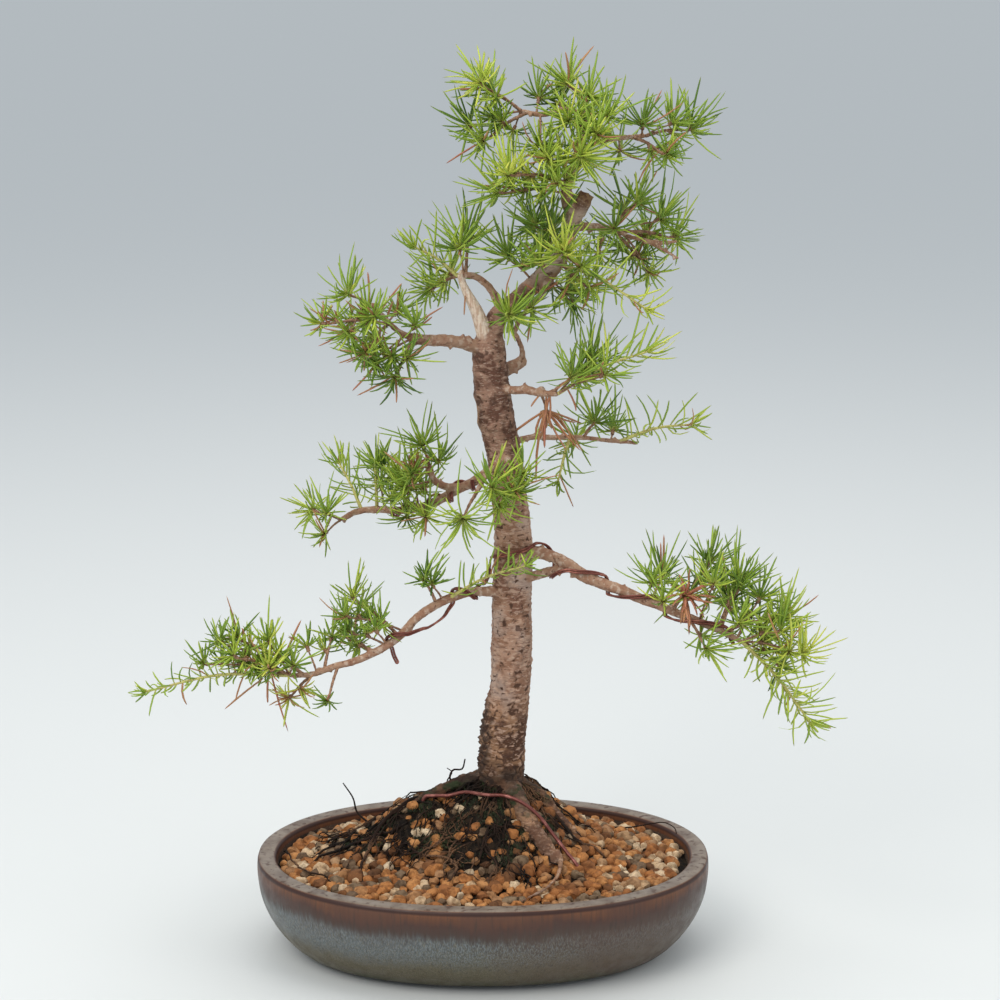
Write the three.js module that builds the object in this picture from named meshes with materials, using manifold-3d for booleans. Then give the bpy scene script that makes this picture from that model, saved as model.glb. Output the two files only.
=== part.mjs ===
// A european larch bonsai in an oval glazed pot.
// Millimetres, +Z up, origin at the middle of the pot's footprint.
// +X runs along the pot to the right, +Y away from the front.

import * as THREE from "three";
import { mergeVertices } from "three/addons/utils/BufferGeometryUtils.js";
import Module from "manifold-3d";

const wasm = await Module();
wasm.setup();

// Driving dimensions of the pot
const POT_LENGTH = 270;
const POT_WIDTH = 196;
const POT_HEIGHT = 58;
const RIM_WIDTH = 10.5;
const FOOT_HEIGHT = 3.5;
const FLOOR_TOP = 10;
const OVAL_POWER = 2.15;
const OVAL_SIDES = 32;
const DRAIN_X = 58;
const DRAIN_RADIUS = 12;
const WIRE_HOLE_X = 30;
const WIRE_HOLE_RADIUS = 3;

// Driving dimensions of what the pot holds
const SOIL_LEVEL = 54;
const MOUND_RISE = 44;
const MOUND_SPREAD = 51;
const MOUND_TOP = [9, 17];
const SHOULDER_RISE = 17;
const SHOULDER_TOP = [-47, 14];
const SHOULDER_LEFT = 30;
const SHOULDER_RIGHT = 22;
const SHOULDER_WIDTH = 26;
const GRAIN_PITCH = 14.2;
const GRAIN_RELIEF = 3.6;
const SCREEN_SIZE = 36;
const SCREEN_THICKNESS = 1.2;
const WIRE_DIAMETER = 2.5;
const TURN_STEPS = 7;
const CLIP_DIAMETER = 1.2;

// Clear gap kept between two pieces that touch
const GAP = 0.35;

// Driving dimensions of the foliage
const NEEDLE_WIDTH = 1.05;
const TUFT_NEEDLE = 22;
const SHOOT_NEEDLE = 18;
const TUFT_NEEDLES = 8;
const DRY_NEEDLES = 6;
const SHOOT_PITCH = 5.8;
const SPUR = 3.2;
const CORE_RADIUS = 1.2;
const NEEDLE_TRIES = 24;

const COLOURS = {
  glaze: 0x6f7f86,
  soil: 0xb8813f,
  bark: 0x8a6450,
  needle: 0x5f9a3c,
  dry: 0x9a5436,
  wire: 0x7a3a30,
  screen: 0x2c2f2e,
  clip: 0xa9abad,
};

// Random draws come from one seeded stream, so each build is the same
let seed = 20891;
function draw(low = 0, high = 1) {
  seed = (seed + 0x6d2b79f5) | 0;
  let bits = Math.imul(seed ^ (seed >>> 15), 1 | seed);
  bits = (bits + Math.imul(bits ^ (bits >>> 7), 61 | bits)) ^ bits;
  return low + (high - low) * (((bits ^ (bits >>> 14)) >>> 0) / 4294967296);
}

const vector = ([x, y, z]) => new THREE.Vector3(x, y, z);

// Turns a closed geometry into a solid, with shared corners welded
function solidOf(geometry) {
  const bare = geometry.clone();
  bare.deleteAttribute("normal");
  bare.deleteAttribute("uv");
  const welded = mergeVertices(bare, 1e-4);
  const corners = welded.index.array;
  const triangles = [];
  for (let i = 0; i < corners.length; i += 3) {
    const [a, b, c] = corners.slice(i, i + 3);
    if (a !== b && b !== c && c !== a) triangles.push(a, b, c);
  }
  return new wasm.Manifold(new wasm.Mesh({
    numProp: 3,
    vertProperties: Float32Array.from(welded.attributes.position.array),
    triVerts: Uint32Array.from(triangles),
  }));
}

// Turns a solid back into a geometry
function geometryOf(solid) {
  const mesh = solid.getMesh();
  const geometry = new THREE.BufferGeometry();
  geometry.setAttribute("position", new THREE.BufferAttribute(Float32Array.from(mesh.vertProperties), 3));
  geometry.setIndex(new THREE.BufferAttribute(Uint32Array.from(mesh.triVerts), 1));
  geometry.computeVertexNormals();
  return geometry;
}

const joined = (solids) => solids.reduce((whole, next) => whole.add(next));

// Keeps the biggest body of a solid and drops loose scraps
function biggest(solid) {
  const bodies = solid.decompose();
  return bodies.reduce((best, next) => (next.volume() > best.volume() ? next : best));
}

// An upright box between two corners
function boxBetween(low, high) {
  const size = high.map((value, axis) => value - low[axis]);
  const box = new THREE.BoxGeometry(...size);
  box.translate(...low.map((value, axis) => value + size[axis] / 2));
  return solidOf(box);
}

// An upright round bar
function uprightBar(x, y, radius, bottom, top, sides) {
  const bar = new THREE.CylinderGeometry(radius, radius, top - bottom, sides);
  bar.rotateX(Math.PI / 2);
  bar.translate(x, y, (top + bottom) / 2);
  return solidOf(bar);
}

// The oval's half length and half width where its long half axis is `reach`.
// Near the wall the two differ by a fixed amount, so the rim is even all round.
const HALF_LENGTH = POT_LENGTH / 2;
const OVAL_STEP = (POT_LENGTH - POT_WIDTH) / 2;
const EVEN_REACH = 60;
function ovalAxes(reach) {
  const inner = (reach * (EVEN_REACH - OVAL_STEP)) / EVEN_REACH;
  return [reach, reach > EVEN_REACH ? reach - OVAL_STEP : inner];
}

function ovalPoint(reach, angle) {
  const [halfLength, halfWidth] = ovalAxes(reach);
  const bend = (value) => Math.sign(value) * Math.abs(value) ** (2 / OVAL_POWER);
  return [halfLength * bend(Math.cos(angle)), halfWidth * bend(Math.sin(angle))];
}

// A closed profile of [reach, height] pairs, carried round the oval
function ovalSolid(profile) {
  const lathe = new THREE.LatheGeometry(profile.map(([reach, z]) => new THREE.Vector2(reach, z)), OVAL_SIDES);
  const position = lathe.attributes.position;
  for (let i = 0; i < position.count; i += 1) {
    const reach = Math.hypot(position.getX(i), position.getZ(i));
    const angle = Math.atan2(-position.getZ(i), position.getX(i));
    const [x, y] = reach < 1e-6 ? [0, 0] : ovalPoint(reach, angle);
    position.setXYZ(i, x, y, position.getY(i));
  }
  return solidOf(lathe);
}

// The pot: wall, rolled lip, floor, four low feet, two drain holes, two wire holes
const OUTER_WALL = [
  [HALF_LENGTH - 23, FOOT_HEIGHT], [HALF_LENGTH - 17, 9], [HALF_LENGTH - 10, 18], [HALF_LENGTH - 5, 27],
  [HALF_LENGTH - 1, 40], [HALF_LENGTH, 50], [HALF_LENGTH - 0.4, POT_HEIGHT - 1.2],
];
const INNER_WALL = [
  [HALF_LENGTH - 12, POT_HEIGHT - 5], [HALF_LENGTH - 13.5, 34],
  [HALF_LENGTH - 22, 16], [HALF_LENGTH - 33, FLOOR_TOP],
];

function potSolid() {
  const rim = [
    [HALF_LENGTH - 1.6, POT_HEIGHT], [HALF_LENGTH - RIM_WIDTH, POT_HEIGHT],
    [HALF_LENGTH - RIM_WIDTH - 1, POT_HEIGHT - 1.2],
  ];
  const profile = [[0, FOOT_HEIGHT], ...OUTER_WALL, ...rim, ...INNER_WALL, [0, FLOOR_TOP]];
  let pot = ovalSolid(profile);
  const footReach = HALF_LENGTH - 30;
  const footWidth = 13;
  const ring = [
    [footReach, 0], [footReach, FOOT_HEIGHT + 1],
    [footReach - footWidth, FOOT_HEIGHT + 1], [footReach - footWidth, 0], [footReach, 0],
  ];
  const frontGap = 53;
  const sideGap = 20;
  const feet = ovalSolid(ring)
    .subtract(boxBetween([-frontGap, -POT_WIDTH, -1], [frontGap, POT_WIDTH, POT_HEIGHT]))
    .subtract(boxBetween([-POT_LENGTH, -sideGap, -1], [POT_LENGTH, sideGap, POT_HEIGHT]));
  pot = pot.add(feet);
  for (const side of [-1, 1]) {
    pot = pot.subtract(uprightBar(side * DRAIN_X, 0, DRAIN_RADIUS, 0, FLOOR_TOP + 1, 20));
    pot = pot.subtract(uprightBar(side * WIRE_HOLE_X, 0, WIRE_HOLE_RADIUS, 0, FLOOR_TOP + 1, 8));
  }
  return pot;
}

// A square plastic net that lies over a drain hole and keeps the soil in
const SCREEN_BOTTOM = FLOOR_TOP + GAP;
const SCREEN_TOP = SCREEN_BOTTOM + SCREEN_THICKNESS;
const SCREEN_HOLES = 3;
const SCREEN_BAR = 3;
const SCREEN_PITCH = (SCREEN_SIZE - SCREEN_BAR) / SCREEN_HOLES;
const CLIP_LEG = SCREEN_PITCH / 2 + SCREEN_BAR;

function screenSolid(x) {
  const square = (centreX, centreY, half, bottom, top) => {
    return boxBetween([centreX - half, centreY - half, bottom], [centreX + half, centreY + half, top]);
  };
  let net = square(x, 0, SCREEN_SIZE / 2, SCREEN_BOTTOM, SCREEN_TOP);
  for (let row = 0; row < SCREEN_HOLES; row += 1) {
    for (let column = 0; column < SCREEN_HOLES; column += 1) {
      const [across, along] = [column, row].map((step) => (step - (SCREEN_HOLES - 1) / 2) * SCREEN_PITCH);
      const hole = square(x + across, along, (SCREEN_PITCH - SCREEN_BAR) / 2, 0, POT_HEIGHT);
      net = net.subtract(hole);
    }
  }
  return net;
}

// A round tube along a smooth route, as an extruded polygon
function wireGeometry(route, diameter, sides, steps) {
  const section = new THREE.Shape();
  for (let side = 0; side < sides; side += 1) {
    const angle = (side / sides) * 2 * Math.PI;
    const place = [Math.cos(angle) * diameter / 2, Math.sin(angle) * diameter / 2];
    if (side === 0) section.moveTo(...place);
    else section.lineTo(...place);
  }
  const extrudePath = new THREE.CatmullRomCurve3(route.map(vector));
  return new THREE.ExtrudeGeometry(section, { steps, extrudePath, bevelEnabled: false });
}

// Straight lengths of wire joined end to end
const wireRuns = (runs, diameter, sides) =>
  joined(runs.map(({ route, steps = 1 }) => solidOf(wireGeometry(route, diameter, sides, steps))));

// A wire staple: over the net's middle opening, down the drain hole and spread under the floor
function clipSolid(x) {
  const lap = CLIP_DIAMETER / 2;
  const over = SCREEN_TOP + GAP + CLIP_DIAMETER / 2;
  const under = FOOT_HEIGHT - GAP - CLIP_DIAMETER / 2;
  const runs = [{ route: [[x - CLIP_LEG - lap, 0, over], [x + CLIP_LEG + lap, 0, over]] }];
  for (const side of [-1, 1]) {
    const down = x + side * CLIP_LEG;
    runs.push({ route: [[down, 0, over + lap], [down, 0, under - lap]] });
    runs.push({ route: [[down - side * lap, 0, under], [down + side * 9, 0, under]] });
  }
  return wireRuns(runs, CLIP_DIAMETER, 4);
}

// Height of the soil's surface, before its grains: a mound with a long shoulder to the left
function soilTop(x, y) {
  const [halfLength, halfWidth] = ovalAxes(HALF_LENGTH - RIM_WIDTH - 1);
  const share = (x / halfLength) ** 2 + (y / halfWidth) ** 2;
  const distance = Math.hypot(x - MOUND_TOP[0], y - MOUND_TOP[1]) / MOUND_SPREAD;
  const along = (x - SHOULDER_TOP[0]) / (x < SHOULDER_TOP[0] ? SHOULDER_LEFT : SHOULDER_RIGHT);
  const across = (y - SHOULDER_TOP[1]) / SHOULDER_WIDTH;
  const shoulder = SHOULDER_RISE * Math.exp(-along * along - across * across);
  const rise = MOUND_RISE * Math.exp(-distance * distance) + shoulder;
  return SOIL_LEVEL + rise * Math.max(0, 1 - share * share);
}

// A tapered tube bent along a route; `grow` makes it fatter and longer all round
function taperedTube(route, radii, { sides = 5, steps = 8, grow = 0, relief = () => 0 } = {}) {
  const curve = new THREE.CatmullRomCurve3(route.map(vector));
  const frames = curve.computeFrenetFrames(steps, false);
  const tube = new THREE.CylinderGeometry(1, 1, 1, sides, steps);
  const position = tube.attributes.position;
  for (let i = 0; i < position.count; i += 1) {
    const step = Math.round((position.getY(i) + 0.5) * steps);
    const along = step / steps;
    const place = curve.getUtoTmapping(along) * (radii.length - 1);
    const before = Math.min(Math.floor(place), radii.length - 2);
    const plain = THREE.MathUtils.lerp(radii[before], radii[before + 1], place - before);
    const point = curve.getPointAt(along);
    const angle = Math.atan2(position.getZ(i), position.getX(i));
    const radius = plain * (1 + relief(angle, step)) + grow;
    const end = step === 0 ? -grow : step === steps ? grow : 0;
    point.addScaledVector(frames.normals[step], position.getX(i) * radius);
    point.addScaledVector(frames.binormals[step], -position.getZ(i) * radius);
    point.addScaledVector(frames.tangents[step], end);
    position.setXYZ(i, point.x, point.y, point.z);
  }
  return solidOf(tube);
}

const TRUNK_BASE = 52;
const TRUNK_TOP = 376;

// The tree's limbs: a route of [x, y, z] points and a radius at each
const LIMBS = {
  trunk: {
    route: [
      [11, 17, TRUNK_BASE], [11, 16, 78], [11, 16, 98], [12, 15, 120], [14, 14, 138], [16, 13, 156], [17, 12, 182],
      [17, 11, 210], [18, 10, 243], [16, 9, 270], [13, 7, 297], [8, 6, 320], [5, 5, 343], [4, 4, 362], [5, 4, TRUNK_TOP],
    ],
    radii: [20, 17.5, 14.5, 13.3, 13, 12.1, 12.4, 11.9, 11.4, 10.6, 10.2, 10.7, 10.2, 9.6, 6],
    sides: 10,
    steps: 15,
    relief: (angle, step) => 0.03 * Math.sin(3 * angle + step * 1.7) + 0.025 * Math.sin(5 * angle - step * 2.3),
  },
  leader: {
    route: [
      [4, 4, 364], [9, 4, 379], [18, 2, 388], [27, 0, 396], [36, -2, 406],
      [43, -4, 415], [49, -4, 427], [53, -4, 441],
    ],
    radii: [7, 6, 5.4, 5.2, 5, 4.8, 4.7, 4.8],
    steps: 9,
  },
  snag: { route: [[52, -4, 437], [56, -2, 444], [59, 0, 450]], radii: [4.8, 5.4, 4.6], steps: 2 },
  apex: {
    route: [[52, -4, 438], [48, -6, 446], [48, -4, 455], [52, -2, 465], [55, 0, 478], [57, 2, 490], [59, 4, 500]],
    radii: [4.2, 3.6, 3.2, 2.9, 2.5, 2.1, 1.6],
    steps: 8,
  },
  apex_left: {
    route: [[58, 3, 492], [48, 2, 497], [34, 0, 494], [22, 0, 496]],
    radii: [1.9, 1.7, 1.6, 1.3],
    sides: 4,
    steps: 5,
  },
  apex_right: {
    route: [[54, 0, 473], [66, -2, 479], [78, -1, 481], [92, 2, 482]],
    radii: [2.1, 1.8, 1.6, 1.3],
    sides: 4,
    steps: 5,
  },
  apex_back: { route: [[56, 1, 482], [55, 12, 488], [58, 24, 490]], radii: [2, 1.8, 1.4], sides: 4,
    steps: 4 },
  right_upper: {
    route: [[51, -4, 432], [60, 2, 431], [69, 8, 430], [80, 14, 427]],
    radii: [3.2, 2.4, 2.1, 1.6],
    steps: 5,
  },
  top_left: {
    route: [[11, 3, 385], [3, 0, 398], [-6, -3, 404], [-14, -5, 404]],
    radii: [2.6, 2.2, 2, 1.5],
    sides: 4,
    steps: 5,
  },
  jin: { route: [[2, 1, 368], [-3, -2, 383], [-9, -4, 395], [-13, -6, 405]], radii: [5, 3.8, 2.6, 1.7], steps: 5 },
  up_left: {
    route: [[4, 4, 360], [-7, -2, 364], [-18, -7, 367], [-30, -12, 368], [-41, -16, 370]],
    radii: [5, 3.9, 3.5, 3.4, 3.2],
    steps: 6,
  },
  up_left_twig: {
    route: [[-38, -14, 369], [-48, -14, 374], [-57, -18, 384], [-65, -22, 391]],
    radii: [2, 1.7, 1.5, 1.2],
    sides: 4,
    steps: 5,
  },
  right_stub: { route: [[7, 6, 346], [17, 12, 349], [24, 18, 352]], radii: [4.4, 3.8, 3.4], steps: 3 },
  right_mid: {
    route: [[8, 4, 339], [17, -3, 338], [26, -9, 339], [34, -15, 338], [43, -22, 339]],
    radii: [3, 2.5, 2.6, 2.1, 1.7],
    steps: 6,
  },
  right_low: {
    route: [[13, 8, 304], [28, 15, 307], [40, 20, 306], [56, 26, 305], [76, 31, 302], [92, 35, 300]],
    radii: [2.4, 1.8, 1.7, 1.5, 1.4, 1.2],
    sides: 4,
    steps: 6,
  },
  mid_left: {
    route: [
      [14, 8, 296], [4, 15, 287], [-6, 21, 279], [-16, 26, 273], [-27, 29, 266],
      [-39, 32, 261], [-52, 35, 259], [-65, 38, 259], [-76, 40, 257], [-85, 41, 252],
    ],
    radii: [4, 3.2, 2.9, 2.9, 2.8, 2.6, 2.4, 2.2, 2, 1.7],
    steps: 13,
  },
  mid_left_arm: {
    route: [[-14, 25, 275], [-23, 20, 277], [-29, 17, 282], [-31, 15, 290]],
    radii: [2.6, 2.4, 2.1, 1.8],
    sides: 4,
    steps: 5,
  },
  mid_front: {
    route: [[14, 4, 300], [8, -8, 296], [1, -17, 289], [-4, -25, 281]],
    radii: [2.8, 2, 1.7, 1.3],
    sides: 4,
    steps: 5,
  },
  low_left: {
    route: [
      [16, 10, 214], [3, 4, 217], [-7, -1, 218], [-18, -6, 216], [-28, -10, 212], [-38, -14, 206], [-46, -18, 198],
      [-54, -21, 192], [-64, -24, 187], [-75, -27, 183], [-86, -30, 181], [-98, -32, 177], [-111, -34, 177],
    ],
    radii: [4.2, 3, 2.8, 2.8, 2.7, 2.6, 2.6, 2.5, 2.4, 2.2, 2, 1.8, 1.5],
    steps: 15,
  },
  low_right: {
    route: [
      [18, 9, 237], [30, 3, 241], [40, -3, 240], [49, -8, 237], [58, -12, 231], [69, -16, 227], [80, -20, 224],
      [91, -24, 220], [101, -27, 217], [112, -31, 213], [122, -34, 210], [135, -38, 205], [148, -40, 199],
    ],
    radii: [4.6, 3.8, 3.5, 3.5, 3.9, 3.5, 3.2, 3, 2.8, 2.6, 2.3, 2, 1.6],
    steps: 15,
  },
  low_right_fork: {
    route: [[18, 10, 222], [30, 2, 227], [40, -3, 231], [52, -9, 235]],
    radii: [4, 3, 2.8, 2.6],
    steps: 5,
  },
  root_front: {
    route: [[13, 14, 96], [19, -1, 91], [25, -13, 85], [32, -22, 76], [38, -29, 69], [41, -36, 62]],
    radii: [10, 7, 5.4, 5, 4.6, 2.6],
    steps: 5,
  },
  root_left: {
    route: [[10, 17, 96], [-6, 16, 97], [-18, 14, 94], [-30, 12, 90], [-42, 9, 85]],
    radii: [9, 5, 3.8, 3, 1.8],
    steps: 4,
  },
  root_right: {
    route: [[14, 16, 95], [27, 13, 93], [36, 9, 88], [44, 3, 80], [52, -2, 73], [61, -4, 65]],
    radii: [9, 4.2, 3.4, 3, 2.6, 1.6],
    steps: 5,
  },
  root_back: {
    route: [[10, 18, 95], [4, 32, 92], [0, 44, 83], [-4, 54, 71]],
    radii: [9, 5, 3.6, 1.8],
    steps: 3,
  },
};

const limbTube = ({ route, radii, ...form }, grow = 0) => taperedTube(route, radii, { ...form, grow });

// A point and a radius on a limb, at a share of its length
function onLimb(name, share) {
  const { route, radii } = LIMBS[name];
  const curve = new THREE.CatmullRomCurve3(route.map(vector));
  const place = curve.getUtoTmapping(share) * (radii.length - 1);
  const before = Math.min(Math.floor(place), radii.length - 2);
  const radius = THREE.MathUtils.lerp(radii[before], radii[before + 1], place - before);
  return { point: curve.getPointAt(share), tangent: curve.getTangentAt(share), radius };
}

// A direction square to a limb; a bearing of 0 points up, or to the back on an upright limb
function squareTo(tangent, bearing) {
  const upright = Math.abs(tangent.z) > 0.9;
  const up = upright ? new THREE.Vector3(0, 1, 0) : new THREE.Vector3(0, 0, 1);
  const across = up.cross(tangent).normalize();
  const over = tangent.clone().cross(across);
  return over.multiplyScalar(Math.cos(bearing)).addScaledVector(across, Math.sin(bearing));
}

// Spur knobs and healed pruning wounds: a limb, the place along it, a bearing round it, a radius
const KNOBS = [
  ["trunk", 0.82, 3.5, 4], ["trunk", 0.455, 2.6, 3.6], ["trunk", 0.36, 3.1, 3.4], ["trunk", 0.28, 3.9, 3.8],
  ["trunk", 0.37, 1.2, 3.4], ["trunk", 0.67, 0.7, 3.4],
  ["up_left", 0.3, 0.2, 2.4], ["right_mid", 0.72, 0.3, 2.6], ["low_right", 0.36, 5.9, 2.4],
];

function knobSolid([name, share, bearing, size], grow) {
  const { point, tangent, radius } = onLimb(name, share);
  const centre = point.addScaledVector(squareTo(tangent, bearing), radius * 0.9);
  return solidOf(new THREE.OctahedronGeometry(size * 1.2 + grow).translate(...centre.toArray()));
}

function woodSolid(grow) {
  const tubes = Object.values(LIMBS).map((limb) => limbTube(limb, grow));
  return joined([...tubes, ...KNOBS.map((knob) => knobSolid(knob, grow))]);
}

// A wire wound round a limb through marks of [share of its length, turns, lift off it], between a free start and end
function woundRoute(name, marks, start = [], end = []) {
  const points = [];
  marks.forEach((mark, i) => {
    const next = marks[Math.min(i + 1, marks.length - 1)];
    const count = Math.max(1, Math.round(Math.abs(next[1] - mark[1]) * TURN_STEPS));
    for (let step = 0; step < count; step += 1) {
      const [share, turn, lift] = mark.map((value, part) => THREE.MathUtils.lerp(value, next[part], step / count));
      const { point, tangent, radius } = onLimb(name, share);
      const reach = (radius + WIRE_DIAMETER / 2 + GAP) / Math.cos(Math.PI / TURN_STEPS) + lift;
      points.push(point.addScaledVector(squareTo(tangent, 2 * Math.PI * turn), reach).toArray());
    }
  });
  return [...start, ...points, ...end];
}

// A wire round the trunk, as an arc of its surface, from one bearing to another
function roundTrunk(z, rise, fromBearing, toBearing, count) {
  const points = [];
  for (let step = 0; step < count; step += 1) {
    const share = step / (count - 1);
    const height = z + rise * share;
    const { point, radius } = onLimb("trunk", (height - TRUNK_BASE) / (TRUNK_TOP - TRUNK_BASE));
    const bearing = THREE.MathUtils.degToRad(THREE.MathUtils.lerp(fromBearing, toBearing, share));
    const reach = radius * 1.06 + WIRE_DIAMETER / 2 + GAP + 0.4;
    points.push([point.x + Math.cos(bearing) * reach, point.y + Math.sin(bearing) * reach, height]);
  }
  return points;
}

const WIND_LOW_LEFT = [
  [0.122, 0, 0], [0.149, -0.5, 0], [0.238, -1, 0], [0.256, -1.45, 0], [0.33, -1.55, 4], [0.42, -1.6, 4.5],
  [0.503, -1.75, 1.5], [0.565, -2, 0], [0.58, -2.25, 0],
];
const WIND_LOW_RIGHT = [
  [0.105, 0, 0], [0.15, 0.25, 1.5], [0.195, 0.5, 7.5], [0.235, 0.62, 4], [0.28, 0.75, 1], [0.401, 1, 0],
  [0.444, 1.5, 0], [0.639, 2, 0], [0.69, 2.5, 0], [0.925, 3, 0], [0.975, 3.5, 0],
];
const WIND_MID_LEFT = [[0.22, 0.22, 0], [0.74, 3.72, 0]];
const LOW_LEFT_TAIL = [[-53, -15.5, 188.5], [-51.6, -16.5, 184], [-49.7, -18, 180.3]];

const WIRES = {
  wire_low_left: {
    route: woundRoute("low_left", WIND_LOW_LEFT, roundTrunk(236, -10, 198, 186, 3), LOW_LEFT_TAIL),
    steps: 36,
  },
  wire_low_right: {
    route: woundRoute("low_right", WIND_LOW_RIGHT, roundTrunk(238, 7, 203, 325, 5)),
    steps: 50,
  },
  wire_mid_left: {
    route: woundRoute("mid_left", WIND_MID_LEFT),
    steps: 25,
  },
};

// The wire that ties the roots down: up through the floor, over the roots, down again
const TIE_OVER = [[-35, 7], [-29, 6], [-21, 4], [-11, 2], [2, -5], [14, -9], [24, -13], [33, -17], [41, -22], [49, -29]];
const TIE_HEIGHT = WIRE_DIAMETER / 2 + GRAIN_RELIEF / 2 + 1.2;
const TIE_LIFT = [-1, 0, 0, 0, 0.4, 3.4, 5.4, 5.2, 2.4, 0];

function tieSolid(diameter) {
  const under = FOOT_HEIGHT - GAP - WIRE_DIAMETER / 2;
  const inside = FLOOR_TOP + 6;
  const over = TIE_OVER.map(([x, y], i) => [x, y, soilTop(x, y) + TIE_HEIGHT + TIE_LIFT[i]]);
  const risingEnd = [[-WIRE_HOLE_X, 0, inside], [-WIRE_HOLE_X - 3, 1, 30], [-WIRE_HOLE_X - 6, 3, 55]];
  const sinkingEnd = [[56, -36, 60], [54, -31, 46], [44, -16, 28], [WIRE_HOLE_X, 0, inside]];
  const runs = [
    { route: [[-WIRE_HOLE_X - 1, 0, under], [WIRE_HOLE_X + 1, 0, under]] },
    { route: [[-WIRE_HOLE_X, 0, under - 1], [-WIRE_HOLE_X, 0, inside + 1]] },
    { route: [[WIRE_HOLE_X, 0, under - 1], [WIRE_HOLE_X, 0, inside + 1]] },
    { route: [...risingEnd, ...over, ...sinkingEnd], steps: 17 },
  ];
  return wireRuns(runs, diameter, 5);
}

// The field of grains: a jittered lattice of low peaks with shared hollows between them
function grainField() {
  const rowHeight = (GRAIN_PITCH * Math.sqrt(3)) / 2;
  const columns = Math.ceil(POT_LENGTH / GRAIN_PITCH / 2) + 1;
  const rows = Math.ceil(POT_WIDTH / rowHeight / 2) + 1;
  const peaks = new Map();
  for (let row = -rows; row <= rows; row += 1) {
    for (let column = -columns; column <= columns; column += 1) {
      const x = (column + (row % 2 === 0 ? 0 : 0.5)) * GRAIN_PITCH + draw(-1.6, 1.6);
      const y = row * rowHeight + draw(-1.6, 1.6);
      peaks.set(`${row},${column}`, [x, y, soilTop(x, y) + draw(0.4, 1) * GRAIN_RELIEF]);
    }
  }
  const surface = [];
  const addCell = (a, b, c) => {
    const [x, y] = [0, 1].map((axis) => (a[axis] + b[axis] + c[axis]) / 3);
    const hollow = [x, y, soilTop(x, y) - 0.5];
    surface.push([a, b, hollow], [b, c, hollow], [c, a, hollow]);
  };
  for (let row = -rows; row < rows; row += 1) {
    for (let column = -columns; column < columns; column += 1) {
      const shift = row % 2 === 0 ? 0 : 1;
      const [near, nearNext] = [peaks.get(`${row},${column}`), peaks.get(`${row},${column + 1}`)];
      const [far, farNext] = [peaks.get(`${row + 1},${column}`), peaks.get(`${row + 1},${column + 1}`)];
      addCell(near, nearNext, shift ? farNext : far);
      if (shift) addCell(near, farNext, far);
      else addCell(nearNext, farNext, far);
    }
  }
  return closedField(surface);
}

// Closes a surface of triangles with a flat underside and a skirt round its edge
function closedField(surface) {
  const down = ([x, y]) => [x, y, -POT_HEIGHT];
  const key = (point) => point.map((value) => value.toFixed(4)).join(" ");
  const edges = new Map();
  for (const [a, b, c] of surface) {
    for (const [from, to] of [[a, b], [b, c], [c, a]]) edges.set(`${key(from)} > ${key(to)}`, [from, to]);
  }
  const faces = [...surface, ...surface.map(([a, b, c]) => [down(c), down(b), down(a)])];
  for (const [from, to] of edges.values()) {
    if (edges.has(`${key(to)} > ${key(from)}`)) continue;
    faces.push([to, from, down(from)], [to, down(from), down(to)]);
  }
  const geometry = new THREE.BufferGeometry();
  geometry.setAttribute("position", new THREE.Float32BufferAttribute(faces.flat(2), 3));
  return solidOf(geometry);
}

// The soil fills the pot up to that field, with plain holes for the tree, the wires and the screens.
function soilSolid(fatWood, tieWire) {
  const wall = INNER_WALL.map(([reach, z]) => [reach - GAP, z]);
  const brim = [HALF_LENGTH - 12 - GAP, 150];
  const base = [HALF_LENGTH - 33 - GAP, FLOOR_TOP + GAP];
  const profile = [[0, FLOOR_TOP + GAP], base, ...wall.slice(0, -1).reverse(), brim, [0, 150]];
  let soil = ovalSolid(profile).intersect(grainField());
  for (const side of [-1, 1]) {
    const x = side * DRAIN_X;
    const half = SCREEN_SIZE / 2 + GAP;
    soil = soil.subtract(boxBetween([x - half, -half, 0], [x + half, half, SCREEN_TOP + GAP]));
    const clipTop = SCREEN_TOP + CLIP_DIAMETER + 2 * GAP;
    const slot = [CLIP_LEG + CLIP_DIAMETER, CLIP_DIAMETER];
    soil = soil.subtract(boxBetween([x - slot[0], -slot[1], 0], [x + slot[0], slot[1], clipTop]));
  }
  return biggest(soil.subtract(fatWood).subtract(tieWire));
}

// Slender pieces already placed, as capsules, so that needles can be bent clear of them
const placed = [];
function place(owner, from, to, radius) {
  placed.push({ owner, from: from.clone(), to: to.clone(), radius });
}

// Shortest distance between two straight segments
function segmentGap(p0, p1, q0, q1) {
  const [u, v] = [p1.clone().sub(p0), q1.clone().sub(q0)];
  const w = p0.clone().sub(q0);
  const [uu, uv, vv, uw, vw] = [u.dot(u), u.dot(v), v.dot(v), u.dot(w), v.dot(w)];
  const spread = uu * vv - uv * uv;
  const clampShare = (value) => Math.min(1, Math.max(0, value));
  let s = spread > 1e-9 ? clampShare((uv * vw - vv * uw) / spread) : 0;
  const t = clampShare((uv * s + vw) / vv);
  s = clampShare((uv * t - uw) / uu);
  return w.addScaledVector(u, s).addScaledVector(v, -t).length();
}

function isClear(owner, from, to, radius) {
  const middle = from.clone().add(to).multiplyScalar(0.5);
  const half = from.distanceTo(to) / 2;
  return placed.every((other) => {
    const otherMiddle = other.from.clone().add(other.to).multiplyScalar(0.5);
    const reach = half + other.from.distanceTo(other.to) / 2 + radius + other.radius + 1;
    if (middle.distanceTo(otherMiddle) > reach) return true;
    const own = other.owner === owner;
    const start = own ? from.clone().lerp(to, 0.3) : from;
    const clear = radius + other.radius + (own ? 0.05 : GAP);
    return segmentGap(start, to, other.from, other.to) > clear;
  });
}

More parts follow.
